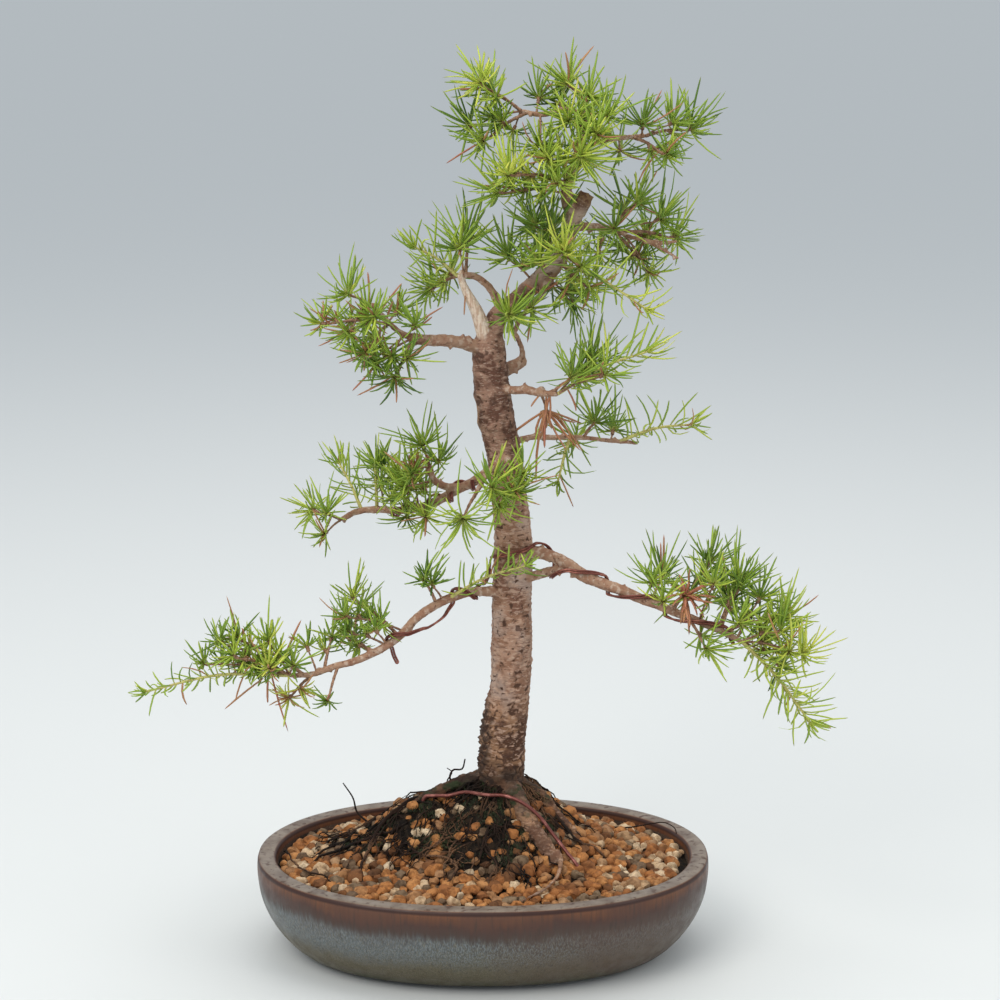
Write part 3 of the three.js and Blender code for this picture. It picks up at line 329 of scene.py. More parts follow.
# Short sprays that fill the crown, which only the scene has
EXTRA_SPRAYS = sprays(
    ("apex_left", "apex_left_more",
        (1, 1, (-20, -4, 13), 0.72, 1.1), (2, 0.77, (1, 4, 6), 0.38, 0.9, 0.9), (3, 1, (-25, 2, -8), 0.3),
        (4, 1, (-3, 0, -8), 0.4, 0.7, 0.8)),
    ("apex_back", "apex_back_more", (1, 0.53, (-6, -22, 2), 0.55, 1.3, 1.05)),
    ("apex", "apex_more", (1, 0.55, (1, -24, 1), 0.66, 1.3, 1.05), (2, 0.41, (-13, -18, 7), 0.6, 1.1)),
    ("apex_right", "apex_right_more",
        (1, 0.5, (-2, -12, 12)), (2, 0.95, (0, -4, 4), 0.35, 1.1, 0.9), (3, 1, (13, 0, 6), 0.4, 1, 0.9)),
    ("apex", "apex_more",
        (3, 1, (1, -4, 3), 0.42, 0.9, 0.8), (4, 0.26, (-5, -20, 3), 0.6, 0.9),
        (5, 0.21, (-35, -10, 1), 0.5, 1, 0.95)),
    ("apex_left", "apex_left_more", (5, 0.71, (0, -10, -14))),
    ("apex_right", "apex_right_more", (4, 0.32, (-2, -20, 5), 0.5)),
    ("apex_left", "apex_left_more", (6, 0.39, (0, 8, 2), 0.4, 0.9, 0.9)),
    ("apex_right", "apex_right_more", (5, 0.62, (1, 14, -7), 0.42, 0.9)),
    ("right_upper", "right_upper_more",
        (1, 1, (18, -4, 6), 0.35, 1.1), (2, 0.86, (-1, -16, 2), 0.4), (3, 1, (14, 4, -21), 0.5, 0.9),
        (4, 1, (11, 10, -3), 0.4)),
    ("leader", "leader_more",
        (1, 0.8, (-16, -8, 9), 0.3, 1.1), (2, 0.48, (-14, -8, 14), 0.35), (3, 0.71, (10, -16, -4), 0.5),
        (4, 0.59, (-4, -18, 6)), (5, 0.35, (5, -12, -4), 0.5, 0.9), (6, 0.55, (16, 22, -17), 0.3, 0.9)),
    ("right_upper", "right_upper_more", (5, 0.64, (-2, 10, -14), 0.42, 0.9)),
    ("leader", "leader_more", (7, 0.66, (17, -8, -12), 0.6, 0.9)),
    ("top_left", "top_left_more", (1, 0.89, (-2, -6, 14), 0.4, 1.1), (2, 1, (-3, 10, -1), 0.45, 0.9)),
    ("up_left_twig", "up_left_twig_more",
        (1, 1, (-7, -6, -13), 0.5, 1, 0.95, 0.12), (2, 0.75, (-1, -14, -1), 0.4),
        (3, 0.5, (3, 6, 3), 0.5, 0.9, 0.9), (4, 0.5, (-11, -12, -14), 0.5, 1, 1, 0.14),
        (5, 0.19, (-5, -10, -9), 0.4, 1, 1, 0.14), (6, 0.12, (3, -6, 5), 0.5, 0.9, 0.8, 0.1),
        (8, 0.6, (-7, -8, 1), 0.5, 0.9, 0.95, 0.12)),
    ("up_left", "up_left_more", (1, 0.97, (-18, -6, -12), 0.45, 1, 1, 0.12)),
    ("mid_front", "mid_front_more",
        (2, 0.35, (4, -10, -12), 0.6, 1, 0.85), (3, 0.25, (11, -12, -5), 0.5, 1, 0.85),
        (4, 0.45, (3, -8, -18), 0.55, 0.9, 0.9)),
    ("mid_left_arm", "mid_left_more", (13, 0.95, (-5, -4, 1), 0.3, 0.7, 0.55, 1)),
    ("up_left_twig", "up_left_twig_more", (7, 0.46, (-8, 10, -8), 0.4)),
    ("mid_left", "mid_left_more",
        (1, 0.8, (0, -14, 29), 0.6), (2, 0.5, (-4, 8, 5), 0.5, 0.9, 0.9),
        (3, 0.64, (0, -6, -2), 0.45, 0.9, 0.9), (4, 1, (-6, -6, 4), 0.6, 1, 0.9),
        (5, 1, (-8, -6, -6), 0.6, 0.8, 0.8, 0.2), (6, 0.62, (-4, -12, 20), 0.5, 1, 0.9),
        (7, 0.58, (-2, 8, 12), 0.45, 1, 0.9), (8, 0.7, (-2, -14, 9), 0.55, 0.9, 0.9)),
    ("mid_left_arm", "mid_left_more",
        (9, 0.8, (-9, -10, 2), 0.45, 1, 0.9), (10, 0.9, (4, -9, 6), 0.35, 1, 0.9)),
    ("mid_left", "mid_left_more", (11, 0.76, (-4, 6, 22), 0.6, 0.9, 0.9)),
    ("mid_left_arm", "mid_left_more", (12, 0.6, (-14, -6, -2), 0.55, 1, 0.9)),
    ("mid_front", "mid_front_more", (1, 0.75, (5, -14, 0), 0.45, 1.1)),
    ("right_mid", "right_mid_more", (1, 1, (17, 6, 15), 0.35, 1.1), (2, 1, (23, -10, 11), 0.5, 0.8, 0.9)),
    ("right_low", "right_low_more",
        (1, 0.53, (1, 8, -3), 0.5, 0.9, 0.9), (2, 0.8, (1, 4, 3), 0.4, 0.8, 0.8)),
    ("low_left", "low_left_more",
        (1, 1, (-37, -4, 20), 0.5, 1, 0.9), (2, 1, (-28, -10, 13), 0.5, 1, 0.9),
        (3, 1, (-10, -8, 21), 0.55, 1, 0.95), (4, 1, (-8, -10, 6), 0.85, 1.1, 1.1, 0.3),
        (5, 1, (-46, -2, 7), 0.5, 0.9, 0.85), (6, 0.89, (-5, 6, 11), 0.45, 0.9, 0.8),
        (7, 1, (2, -4, 5), 0.5, 1, 0.9), (8, 0.5, (-31, -4, 9), 0.42, 0.9, 0.9),
        (9, 0.59, (-19, 6, 5), 0.42, 0.9, 0.85), (10, 0.59, (-5, -6, 9), 0.3, 0.7, 0.7),
        (11, 0.3, (-5, -8, 10), 0.35, 1, 0.9)),
    ("low_right", "low_right_more",
        (1, 0.59, (3, -8, 10), 0.5, 1, 0.95), (2, 0.66, (0, -14, 6), 0.6, 0.9, 0.9),
        (3, 0.91, (9, 6, 20), 0.3, 1.2), (4, 0.82, (6, -10, 22), 0.5, 0.9, 0.95),
        (5, 0.98, (12, 8, 19), 0.35, 1, 0.95), (6, 0.95, (3, -12, 9), 0.6, 0.9, 0.95),
        (7, 1, (19, -4, 6), 0.5), (8, 1, (30, -8, -5), 0.7, 1, 1.05), (9, 1, (21, 6, -15), 0.55, 0.9),
        (10, 0.89, (6, 14, 11), 0.4)),
)


class Route:
    """A smooth line through points, in millimetres, with a radius along it."""

    def __init__(self, points: tuple, radii: tuple = (1.0,), density: int = 24) -> None:
        """Lays the line through its points.

        Args:
            points: the [x, y, z] points that it passes.
            radii: radii spread evenly over the points.
            density: samples between two points.
        """
        stops = np.array(points, float)
        ends = np.vstack([2 * stops[0] - stops[1], stops, 2 * stops[-1] - stops[-2]])
        share = (np.arange(density) / density)[:, None]
        rows = []
        for x0, x1, x2, x3 in zip(ends, ends[1:], ends[2:], ends[3:]):
            d0, d1, d2 = (max(math.dist(a, b) ** 0.5, 0.01) for a, b in ((x0, x1), (x1, x2), (x2, x3)))
            leaving = ((x1 - x0) / d0 - (x2 - x0) / (d0 + d1) + (x2 - x1) / d1) * d1
            coming = ((x2 - x1) / d1 - (x3 - x1) / (d1 + d2) + (x3 - x2) / d2) * d1
            square = (-3 * x1 + 3 * x2 - 2 * leaving - coming) * share**2
            cube = (2 * x1 - 2 * x2 + leaving + coming) * share**3
            rows.append(x1 + leaving * share + square + cube)
        self.points = np.vstack([*rows, stops[-1:]])
        places = np.linspace(0, len(radii) - 1, len(self.points))
        self.radii = np.interp(places, np.arange(len(radii)), radii)
        steps = np.linalg.norm(np.diff(self.points, axis=0), axis=1)
        self.reach = np.concatenate([[0.0], np.cumsum(steps)])
        self.length = float(self.reach[-1])

    def points_at(self, shares: np.ndarray) -> np.ndarray:
        """Returns the points at shares of the length."""
        places = np.asarray(shares, float) * self.length
        return np.stack([np.interp(places, self.reach, self.points[:, axis]) for axis in range(3)], axis=-1)

    def radii_at(self, shares: np.ndarray) -> np.ndarray:
        """Returns the radii at shares of the length."""
        return np.interp(np.asarray(shares, float) * self.length, self.reach, self.radii)

    def directions_at(self, shares: np.ndarray) -> np.ndarray:
        """Returns the unit directions at shares of the length."""
        shares = np.asarray(shares, float)
        ahead = self.points_at(np.minimum(shares + 0.01, 1.0))
        return unit(ahead - self.points_at(np.maximum(shares - 0.01, 0.0)))

    def at(self, share: float) -> tuple:
        """Returns the point, the unit direction and the radius at one share of the length."""
        return self.points_at([share])[0], self.directions_at([share])[0], self.radii_at([share])[0]

    def spaced(self, step: float) -> tuple:
        """Returns points and radii about a step apart.

        Args:
            step: the wanted distance in millimetres.

        Returns:
            The points and the radii.
        """
        shares = np.linspace(0, 1, max(3, round(self.length / step) + 1))
        return self.points_at(shares), self.radii_at(shares)


def unit(vectors: np.ndarray) -> np.ndarray:
    """Returns the vectors with length 1."""
    return vectors / np.maximum(np.linalg.norm(vectors, axis=-1, keepdims=True), 1e-9)


def smooth_step(values: np.ndarray, low: float, high: float) -> np.ndarray:
    """Returns 0 below low, 1 above high and a smooth rise between them."""
    share = np.clip((values - low) / (high - low), 0, 1)
    return share * share * (3 - 2 * share)


def square_to(direction: np.ndarray, bearing: float) -> np.ndarray:
    """Finds a direction square to a limb.

    Args:
        direction: the limb's own direction.
        bearing: 0 points up, or to the back on an upright limb.

    Returns:
        The unit direction.
    """
    up = np.array([0.0, 1.0, 0.0]) if abs(direction[2]) > 0.9 else np.array([0.0, 0.0, 1.0])
    across = unit(np.cross(up, direction))
    return np.cross(direction, across) * math.cos(bearing) + across * math.sin(bearing)


def leaning(axes: np.ndarray, leans: np.ndarray, bearings: np.ndarray) -> np.ndarray:
    """Finds directions that lean away from axes.

    Args:
        axes: the unit axes, one a row.
        leans: how far each direction leans, in radians.
        bearings: the side that each leans to, in radians.

    Returns:
        The unit directions.
    """
    sides = np.where(np.abs(axes[:, 2:]) > 0.9, [[1.0, 0.0, 0.0]], [[0.0, 0.0, 1.0]])
    across = unit(np.cross(sides, axes))
    over = np.cross(axes, across)
    out = across * np.cos(bearings)[:, None] + over * np.sin(bearings)[:, None]
    return unit(axes * np.cos(leans)[:, None] + out * np.sin(leans)[:, None])


def oval_axes(reach: float) -> tuple:
    """Returns the oval's half length and half width where its long half axis is reach."""
    if reach > EVEN_REACH:
        return reach, reach - OVAL_STEP
    return reach, reach * (EVEN_REACH - OVAL_STEP) / EVEN_REACH


def ground(x: np.ndarray, y: np.ndarray) -> np.ndarray:
    """Returns the height of the soil's surface, before its grains."""
    half_length, half_width = oval_axes(HALF_LENGTH - RIM_WIDTH - 1)
    share = (x / half_length) ** 2 + (y / half_width) ** 2
    distance = np.hypot(x - MOUND_TOP[0], y - MOUND_TOP[1]) / MOUND_SPREAD
    spread = np.where(x < SHOULDER_TOP[0], SHOULDER_LEFT, SHOULDER_RIGHT)
    along = (x - SHOULDER_TOP[0]) / spread
    across = (y - SHOULDER_TOP[1]) / SHOULDER_WIDTH
    rise = MOUND_RISE * np.exp(-distance**2) + SHOULDER_RISE * np.exp(-(along**2) - across**2)
    return SOIL_LEVEL + rise * np.maximum(0, 1 - share**2)


def inside_oval(x: np.ndarray, y: np.ndarray, reach: float) -> np.ndarray:
    """Returns which points lie inside the oval of this reach."""
    half_length, half_width = oval_axes(reach)
    return np.abs(x / half_length) ** OVAL_POWER + np.abs(y / half_width) ** OVAL_POWER < 1


def from_trunk(x: np.ndarray, y: np.ndarray) -> np.ndarray:
    """Returns how far points lie from the foot of the trunk, seen from above."""
    return np.hypot(x - TRUNK_X, y - TRUNK_Y)


def on_trunk(routes: dict, height: float) -> tuple:
    """Returns the trunk's point, direction and radius at a height."""
    return routes["trunk"].at((height - TRUNK_BASE) / (TRUNK_TOP - TRUNK_BASE))


def toward(turn: float) -> np.ndarray:
    """Returns the level direction, as x and y, of a turn in radians."""
    return np.array([math.cos(turn), math.sin(turn)])


# Patches of moss and dark root mat on the soil: x, y, radius
MAT_PATCHES = (
    (-2, -10, 14), (-13, -3, 11), (2, -24, 12), (17, -25, 10), (29, -22, 7), (12, -6, 17), (33, 2, 11),
    (-22, -17, 9), (-30, 2, 7), (-36, -20, 8), (-12, -33, 8), (13, -39, 7), (-8, 12, 15), (20, 24, 16),
    (-52, 22, 10), (-60, 12, 10), (-68, 20, 9), (-76, 10, 9), (-84, 24, 8), (-50, 2, 7), (-66, -4, 8),
    (-46, -10, 8), (-40, 10, 8), (38, -10, 6), (-4, 34, 12), (40, 12, 8),
)


def mat_share(x: np.ndarray, y: np.ndarray) -> np.ndarray:
    """Returns how far points lie within the moss and root mat, from 0 to 1."""
    share = np.zeros(np.shape(x))
    for patch_x, patch_y, radius in MAT_PATCHES:
        away = np.hypot(x - patch_x, y - patch_y) / radius
        share = np.maximum(share, 1 - smooth_step(away, 0.6, 1.15))
    return share


class Bench:
    """Short calls for work on meshes, one object at a time."""

    @staticmethod
    def take(*objects: bpy.types.Object) -> None:
        """Selects these objects alone, the first one active."""
        bpy.ops.object.select_all(action="DESELECT")
        for obj in objects:
            obj.select_set(True)
        bpy.context.view_layer.objects.active = objects[0]

    @staticmethod
    def named(name: str) -> bpy.types.Object:
        """Returns the active object, renamed."""
        obj = bpy.context.view_layer.objects.active
        obj.name = name
        obj.data.name = name
        return obj

    @staticmethod
    def edit(obj: bpy.types.Object) -> None:
        """Opens an object in edit mode with everything selected."""
        Bench.take(obj)
        bpy.ops.object.mode_set(mode="EDIT")
        bpy.ops.mesh.select_all(action="SELECT")

    @staticmethod
    def close() -> None:
        """Goes back to object mode."""
        bpy.ops.object.mode_set(mode="OBJECT")

    @staticmethod
    def modify(obj: bpy.types.Object, kind: str, **settings: object) -> None:
        """Adds a modifier and applies it.

        Args:
            obj: the object.
            kind: the modifier's type.
            settings: the modifier's own values.
        """
        Bench.take(obj)
        modifier = obj.modifiers.new(kind.title(), kind)
        for key, value in settings.items():
            setattr(modifier, key, value)
        bpy.ops.object.modifier_apply(modifier=modifier.name)

    @staticmethod
    def joined(name: str, objects: list) -> bpy.types.Object:
        """Joins objects into the first.

        Args:
            name: the whole's name.
            objects: the objects.

        Returns:
            The joined object.
        """
        Bench.take(*objects)
        if len(objects) > 1:
            bpy.ops.object.join()
        return Bench.named(name)

    @staticmethod
    def combine(obj: bpy.types.Object, tool: bpy.types.Object, operation: str) -> None:
        """Joins or cuts an object with another, which is used up.

        Args:
            obj: the object that stays.
            tool: the object that is used up.
            operation: UNION, DIFFERENCE or INTERSECT.
        """
        Bench.modify(obj, "BOOLEAN", operation=operation, object=tool, solver="EXACT")
        bpy.data.objects.remove(tool)

    @staticmethod
    def vectors(obj: bpy.types.Object, name: str) -> np.ndarray:
        """Returns a vector for each of a mesh's points, such as co or normal."""
        flat = np.empty(len(obj.data.vertices) * 3, np.float32)
        obj.data.vertices.foreach_get(name, flat)
        return flat.reshape(-1, 3)

    @staticmethod
    def points(obj: bpy.types.Object) -> np.ndarray:
        """Returns a mesh's points in millimetres."""
        return Bench.vectors(obj, "co").astype(float) / MM

    @staticmethod
    def place(obj: bpy.types.Object, points: np.ndarray) -> None:
        """Sets a mesh's points from millimetres."""
        obj.data.vertices.foreach_set("co", (points * MM).astype(np.float32).ravel())
        obj.data.update()

    @staticmethod
    def mark(obj: bpy.types.Object, name: str, values: np.ndarray) -> None:
        """Keeps one number a point on a mesh, for its material."""
        attribute = obj.data.attributes.new(name, "FLOAT", "POINT")
        attribute.data.foreach_set("value", np.asarray(values, np.float32))

    @staticmethod
    def outward(obj: bpy.types.Object) -> None:
        """Merges doubles and points the faces outward."""
        Bench.edit(obj)
        bpy.ops.mesh.remove_doubles(threshold=0.00001)
        bpy.ops.mesh.normals_make_consistent(inside=False)
        Bench.close()

    @staticmethod
    def smooth(obj: bpy.types.Object, angle: float = 180) -> None:
        """Shades a mesh smooth up to an angle in degrees."""
        Bench.take(obj)
        if angle >= 180:
            bpy.ops.object.shade_smooth()
        else:
            bpy.ops.object.shade_smooth_by_angle(angle=math.radians(angle))

    @staticmethod
    def primitive(kind: str, name: str, **settings: object) -> bpy.types.Object:
        """Adds a mesh primitive with its place in its mesh.

        Args:
            kind: the primitive's name, such as cube.
            name: the object's name.
            settings: the primitive's own values, in metres.

        Returns:
            The new object.
        """
        bpy.ops.object.select_all(action="DESELECT")
        getattr(bpy.ops.mesh, f"primitive_{kind}_add")(**settings)
        bpy.ops.object.transform_apply(location=True, rotation=True, scale=True)
        return Bench.named(name)


@dataclass
class Stamp:
    """The points and triangles of a shape that was modelled once, for its copies."""

    points: np.ndarray
    faces: np.ndarray

    @classmethod
    def of(cls, obj: bpy.types.Object) -> "Stamp":
        """Takes the shape of an object, which is used up.

        Args:
            obj: the modelled object, in millimetres as metres.

        Returns:
            The stamp.
        """
        Bench.modify(obj, "TRIANGULATE")
        corners = np.empty(len(obj.data.loops), np.int32)
        obj.data.loops.foreach_get("vertex_index", corners)
        stamp = cls(Bench.vectors(obj, "co").astype(float), corners.reshape(-1, 3))
        bpy.data.objects.remove(obj)
        return stamp


class Copies:
    """Copies of stamps, gathered as one mesh with numbers on its points."""

    def __init__(self) -> None:
        """Starts with no copies."""
        self.points: list = []
        self.faces: list = []
        self.parts: list = []
        self.marks: list = []
        self.count = 0

    def add(self, placed: np.ndarray, faces: np.ndarray, part: int = 0, **marks: np.ndarray) -> None:
        """Adds copies of one stamp.

        Args:
            placed: the points of each copy, copies by points by 3, in millimetres.
            faces: the stamp's triangles.
            part: which of the piece's materials they have.
            marks: numbers on the points, copies by points.
        """
        copies, size = placed.shape[:2]
        starts = self.count + np.arange(copies)[:, None, None] * size
        self.points.append(placed.reshape(-1, 3))
        self.faces.append((faces[None] + starts).reshape(-1, 3))
        self.parts.append(np.full(copies * len(faces), part, np.int32))
        spread = {key: np.broadcast_to(value, (copies, size)).ravel() for key, value in marks.items()}
        self.marks.append(spread)
        self.count += copies * size

    def build(self, name: str, angle: float = 180) -> bpy.types.Object:
        """Makes the mesh.

        Args:
            name: the object's name.
            angle: edges sharper than this, in degrees, stay sharp.

        Returns:
            The object, shaded smooth.
        """
        points, faces = np.vstack(self.points), np.vstack(self.faces)
        mesh = bpy.data.meshes.new(name)
        mesh.vertices.add(len(points))
        mesh.vertices.foreach_set("co", (points * MM).astype(np.float32).ravel())
        mesh.loops.add(faces.size)
        mesh.loops.foreach_set("vertex_index", faces.astype(np.int32).ravel())
        mesh.polygons.add(len(faces))
        mesh.polygons.foreach_set("loop_start", np.arange(0, faces.size, 3, dtype=np.int32))
        for part in range(1 + max(int(parts.max()) for parts in self.parts)):
            mesh.materials.append(None)
        mesh.polygons.foreach_set("material_index", np.concatenate(self.parts))
        mesh.update(calc_edges=True)
        mesh.validate()
        obj = bpy.data.objects.new(name, mesh)
        bpy.context.scene.collection.objects.link(obj)
        for key in self.marks[0]:
            Bench.mark(obj, key, np.concatenate([marks[key] for marks in self.marks]))
        Bench.smooth(obj, angle)
        return obj


class Tubes:
    """Round rods along lines, drawn as one curve and turned into a mesh."""

    def __init__(self) -> None:
        """Starts with no rods."""
        self.runs: list = []

    def add(self, points: np.ndarray, radii: np.ndarray, part: int = 0) -> None:
        """Adds a rod.

        Args:
            points: its points in millimetres.
            radii: its radius at each point, or one radius.
            part: which of the piece's materials it has.
        """
        self.runs.append((np.asarray(points, float), np.broadcast_to(radii, len(points)), part))

    def build(self, name: str, roundness: int = 2) -> bpy.types.Object:
        """Makes the mesh.

        Args:
            name: the object's name.
            roundness: the section has 4 sides and 2 more for each step.

        Returns:
            The object, shaded smooth.
        """
        bpy.ops.object.select_all(action="DESELECT")
        bpy.ops.curve.primitive_nurbs_path_add()
        obj = Bench.named(name)
        curve = obj.data
        curve.splines.clear()
        curve.dimensions = "3D"
        curve.bevel_depth = MM
        curve.bevel_resolution = roundness
        curve.use_fill_caps = True
        for points, radii, part in self.runs:
            spline = curve.splines.new("POLY")
            spline.points.add(len(points) - 1)
            rows = np.column_stack([points * MM, np.ones(len(points))])
            spline.points.foreach_set("co", rows.astype(np.float32).ravel())
            spline.points.foreach_set("radius", radii.astype(np.float32))
            spline.material_index = part
        for _ in range(1 + max(part for *_, part in self.runs)):
            curve.materials.append(None)
        Bench.take(obj)
        bpy.ops.object.convert(target="MESH")
        obj = Bench.named(name)
        Bench.smooth(obj, 60)
        return obj


def deliver(obj: bpy.types.Object, slot: str, finishes: list, *nodes: str) -> bpy.types.Object:
    """Dresses a finished piece, puts it on its body and hides the CAD nodes that it replaces.

    Args:
        obj: the piece.
        slot: not used.
        finishes: its materials in the order of its material numbers.
        nodes: the CAD nodes that it replaces.

    Returns:
        The piece.
    """
    numbers = np.zeros(len(obj.data.polygons), np.int32)
    obj.data.polygons.foreach_get("material_index", numbers)
    obj.data.materials.clear()
    for finish in finishes:
        obj.data.materials.append(finish.material())
    obj.data.polygons.foreach_set("material_index", np.minimum(numbers, len(finishes) - 1))
    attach(obj, "root")
    if nodes:
        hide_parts(*nodes)
    log.info("%s: %d triangles", obj.name, sum(len(face.vertices) - 2 for face in obj.data.polygons))
    return obj


FLOAT = "NodeSocketFloat"
VECTOR = "NodeSocketVector"


class Board:
    """A node tree, with short calls that add and join its nodes."""

    def __init__(self, tree: bpy.types.NodeTree) -> None:
        """Works on this tree."""
        self.tree = tree

    def node(self, kind: str, **settings: object) -> bpy.types.Node:
        """Adds a shader node with these settings."""
        made = self.tree.nodes.new(kind if kind.startswith("Node") else f"ShaderNode{kind}")
        for key, value in settings.items():
            setattr(made, key, value)
        return made

    def feed(self, socket: bpy.types.NodeSocket, given: object) -> None:
        """Links a socket to another, or sets its value."""
        if isinstance(given, bpy.types.NodeSocket):
            self.tree.links.new(given, socket)
        elif isinstance(given, tuple) and len(given) == 3 and socket.type == "RGBA":
            socket.default_value = (*given, 1.0)
        else:
            socket.default_value = given

    def fed(self, kind: str, given: dict, out: object = 0, **settings: object) -> bpy.types.NodeSocket:
        """Adds a node and feeds it.

        Args:
            kind: the node's type.
            given: what each input gets, by its name or its number.
            out: the output that is wanted.
            settings: the node's own settings.

        Returns:
            The output's socket.
        """
        node = self.node(kind, **settings)
        for key, value in given.items():
            self.feed(node.inputs[key], value)
        return node.outputs[out]

    def place(self, scale: tuple = (1, 1, 1)) -> bpy.types.NodeSocket:
        """Returns the object's own coordinates, stretched by a scale."""
        point = self.node("TexCoord").outputs["Object"]
        return self.fed("Mapping", {"Vector": point, "Scale": scale})

    def mark(self, name: str) -> bpy.types.NodeSocket:
        """Returns a number kept on the mesh."""
        return self.node("Attribute", attribute_name=name).outputs["Fac"]

    def maths(self, operation: str, first: object, second: object) -> bpy.types.NodeSocket:
        """Returns the result of a sum of two numbers."""
        return self.fed("Math", {0: first, 1: second}, operation=operation)

    def times(self, *parts: object) -> object:
        """Returns the product of numbers."""
        whole = parts[0]
        for part in parts[1:]:
            whole = self.maths("MULTIPLY", whole, part)
        return whole

    def range(self, value: object, low: object, high: object, start: float = 0, end: float = 1) -> object:
        """Returns start at low, end at high, and a smooth change between."""
        given = {"Value": value, "From Min": low, "From Max": high, "To Min": start, "To Max": end}
        return self.fed("MapRange", given, "Result", interpolation_type="SMOOTHSTEP")

    def blend(self, share: object, first: object, second: object, kind: str = "MIX") -> bpy.types.NodeSocket:
        """Returns a mix of two colours."""
        return self.fed("Mix", {0: share, 6: first, 7: second}, 2, data_type="RGBA", blend_type=kind)

    def ramp(self, value: object, stops: tuple) -> bpy.types.NodeSocket:
        """Returns a colour from a row of (place, colour) stops."""
        node = self.node("ValToRGB")
        row = node.color_ramp.elements
        while len(row) < len(stops):
            row.new(1.0)
        for element, (place, colour) in zip(row, stops):
            element.position = place
            element.color = (*colour, 1.0)
        self.feed(node.inputs[0], value)
        return node.outputs[0]

    def noise(self, point: object, scale: object, detail: object = 3.0) -> bpy.types.NodeSocket:
        """Returns a noise from 0 to 1."""
        return self.fed("TexNoise", {"Vector": point, "Scale": scale, "Detail": detail}, "Fac")

    def height(self, point: bpy.types.NodeSocket, axis: str = "Z") -> bpy.types.NodeSocket:
        """Returns a coordinate in millimetres."""
        return self.times(self.fed("SeparateXYZ", {0: point}, axis), 1 / MM)

    def spots(self, point: object, scale: float, low: float, high: float, detail: float = 3.0) -> object:
        """Returns a mask of soft blotches over the surface."""
        given = {"Vector": point, "Scale": scale, "Detail": detail, "Low": low, "High": high}
        return self.fed("Group", given, "Mask", node_tree=Effects.mottle())

    def layers(self, point: object, colour: object, rows: tuple) -> object:
        """Lays colours over a colour in soft blotches.

        Args:
            point: the coordinates.
            colour: the colour under them.
            rows: each layer's colour, the scale of its blotches and the two ends of their edge.

        Returns:
            The colour.
        """
        for tint, scale, low, high in rows:
            colour = self.blend(self.spots(point, scale, low, high), colour, tint)
        return colour

    def gritty(self, point: object, grit: tuple) -> bpy.types.NodeSocket:
        """Returns the normal of a roughened surface: two scales, a strength and a depth in millimetres."""
        coarse, fine, strength, depth = grit
        given = {"Vector": point, "Coarse": coarse, "Fine": fine, "Strength": strength, "Depth": depth * MM}
        return self.fed("Group", given, "Normal", node_tree=Effects.grit())


def new_group(name: str, inputs: dict, output: str, kind: str) -> tuple:
    """Starts a shader node group.

    Args:
        name: the group's name.
        inputs: each input's name with its value, or None for coordinates.
        output: the output's name.
        kind: the output's socket type.

    Returns:
        A board on the group, its inputs by name and its output's socket.
    """
    tree = bpy.data.node_groups.new(name, "ShaderNodeTree")
    for key, value in inputs.items():
        form = VECTOR if value is None else FLOAT
        socket = tree.interface.new_socket(name=key, in_out="INPUT", socket_type=form)
        if value is not None:
            socket.default_value = value
    tree.interface.new_socket(name=output, in_out="OUTPUT", socket_type=kind)
    board = Board(tree)
    return board, board.node("NodeGroupInput").outputs, board.node("NodeGroupOutput").inputs[output]


class Effects:
    """The node groups that several finishes share, each built once."""

    built: dict = {}
    BLOTCHES = {"Vector": None, "Scale": 100.0, "Detail": 3.0, "Low": 0.4, "High": 0.6}
    ROUGH = {"Vector": None, "Coarse": 300.0, "Fine": 1200.0, "Strength": 0.4, "Depth": 0.0004}
    FINE_SHARE = 0.45

    @classmethod
    def mottle(cls) -> bpy.types.NodeTree:
        """Returns the group that makes soft blotches as a mask."""
        if "mottle" not in cls.built:
            board, given, out = new_group("Mottle", cls.BLOTCHES, "Mask", FLOAT)
            value = board.noise(given["Vector"], given["Scale"], given["Detail"])
            board.feed(out, board.range(value, given["Low"], given["High"]))
            cls.built["mottle"] = board.tree
        return cls.built["mottle"]

    @classmethod
    def grit(cls) -> bpy.types.NodeTree:
        """Returns the group that roughens a surface at two sizes of grain."""
        if "grit" not in cls.built:
            board, given, out = new_group("Grit", cls.ROUGH, "Normal", VECTOR)
            coarse = board.noise(given["Vector"], given["Coarse"], 4.0)
            fine = board.times(board.noise(given["Vector"], given["Fine"], 3.0), cls.FINE_SHARE)
            bump = {"Height": board.maths("ADD", coarse, fine), "Strength": given["Strength"]}
            board.feed(out, board.fed("Bump", {**bump, "Distance": given["Depth"]}, "Normal"))
            cls.built["grit"] = board.tree
        return cls.built["grit"]


@dataclass(frozen=True)
class Finish:
    """A material of the tree, its pot or its soil."""

    name: str

    def material(self) -> bpy.types.Material:
        """Returns the material, built on its first use."""
        found = bpy.data.materials.get(self.name)
        if found is None:
            found = bpy.data.materials.new(self.name)
            found.use_nodes = True
            shader = found.node_tree.nodes["Principled BSDF"]
            self.paint(Board(found.node_tree), shader.inputs)
        return found

    def paint(self, board: Board, shader: bpy.types.NodeInputs) -> None:
        """Lays the finish on the shader."""
        raise NotImplementedError


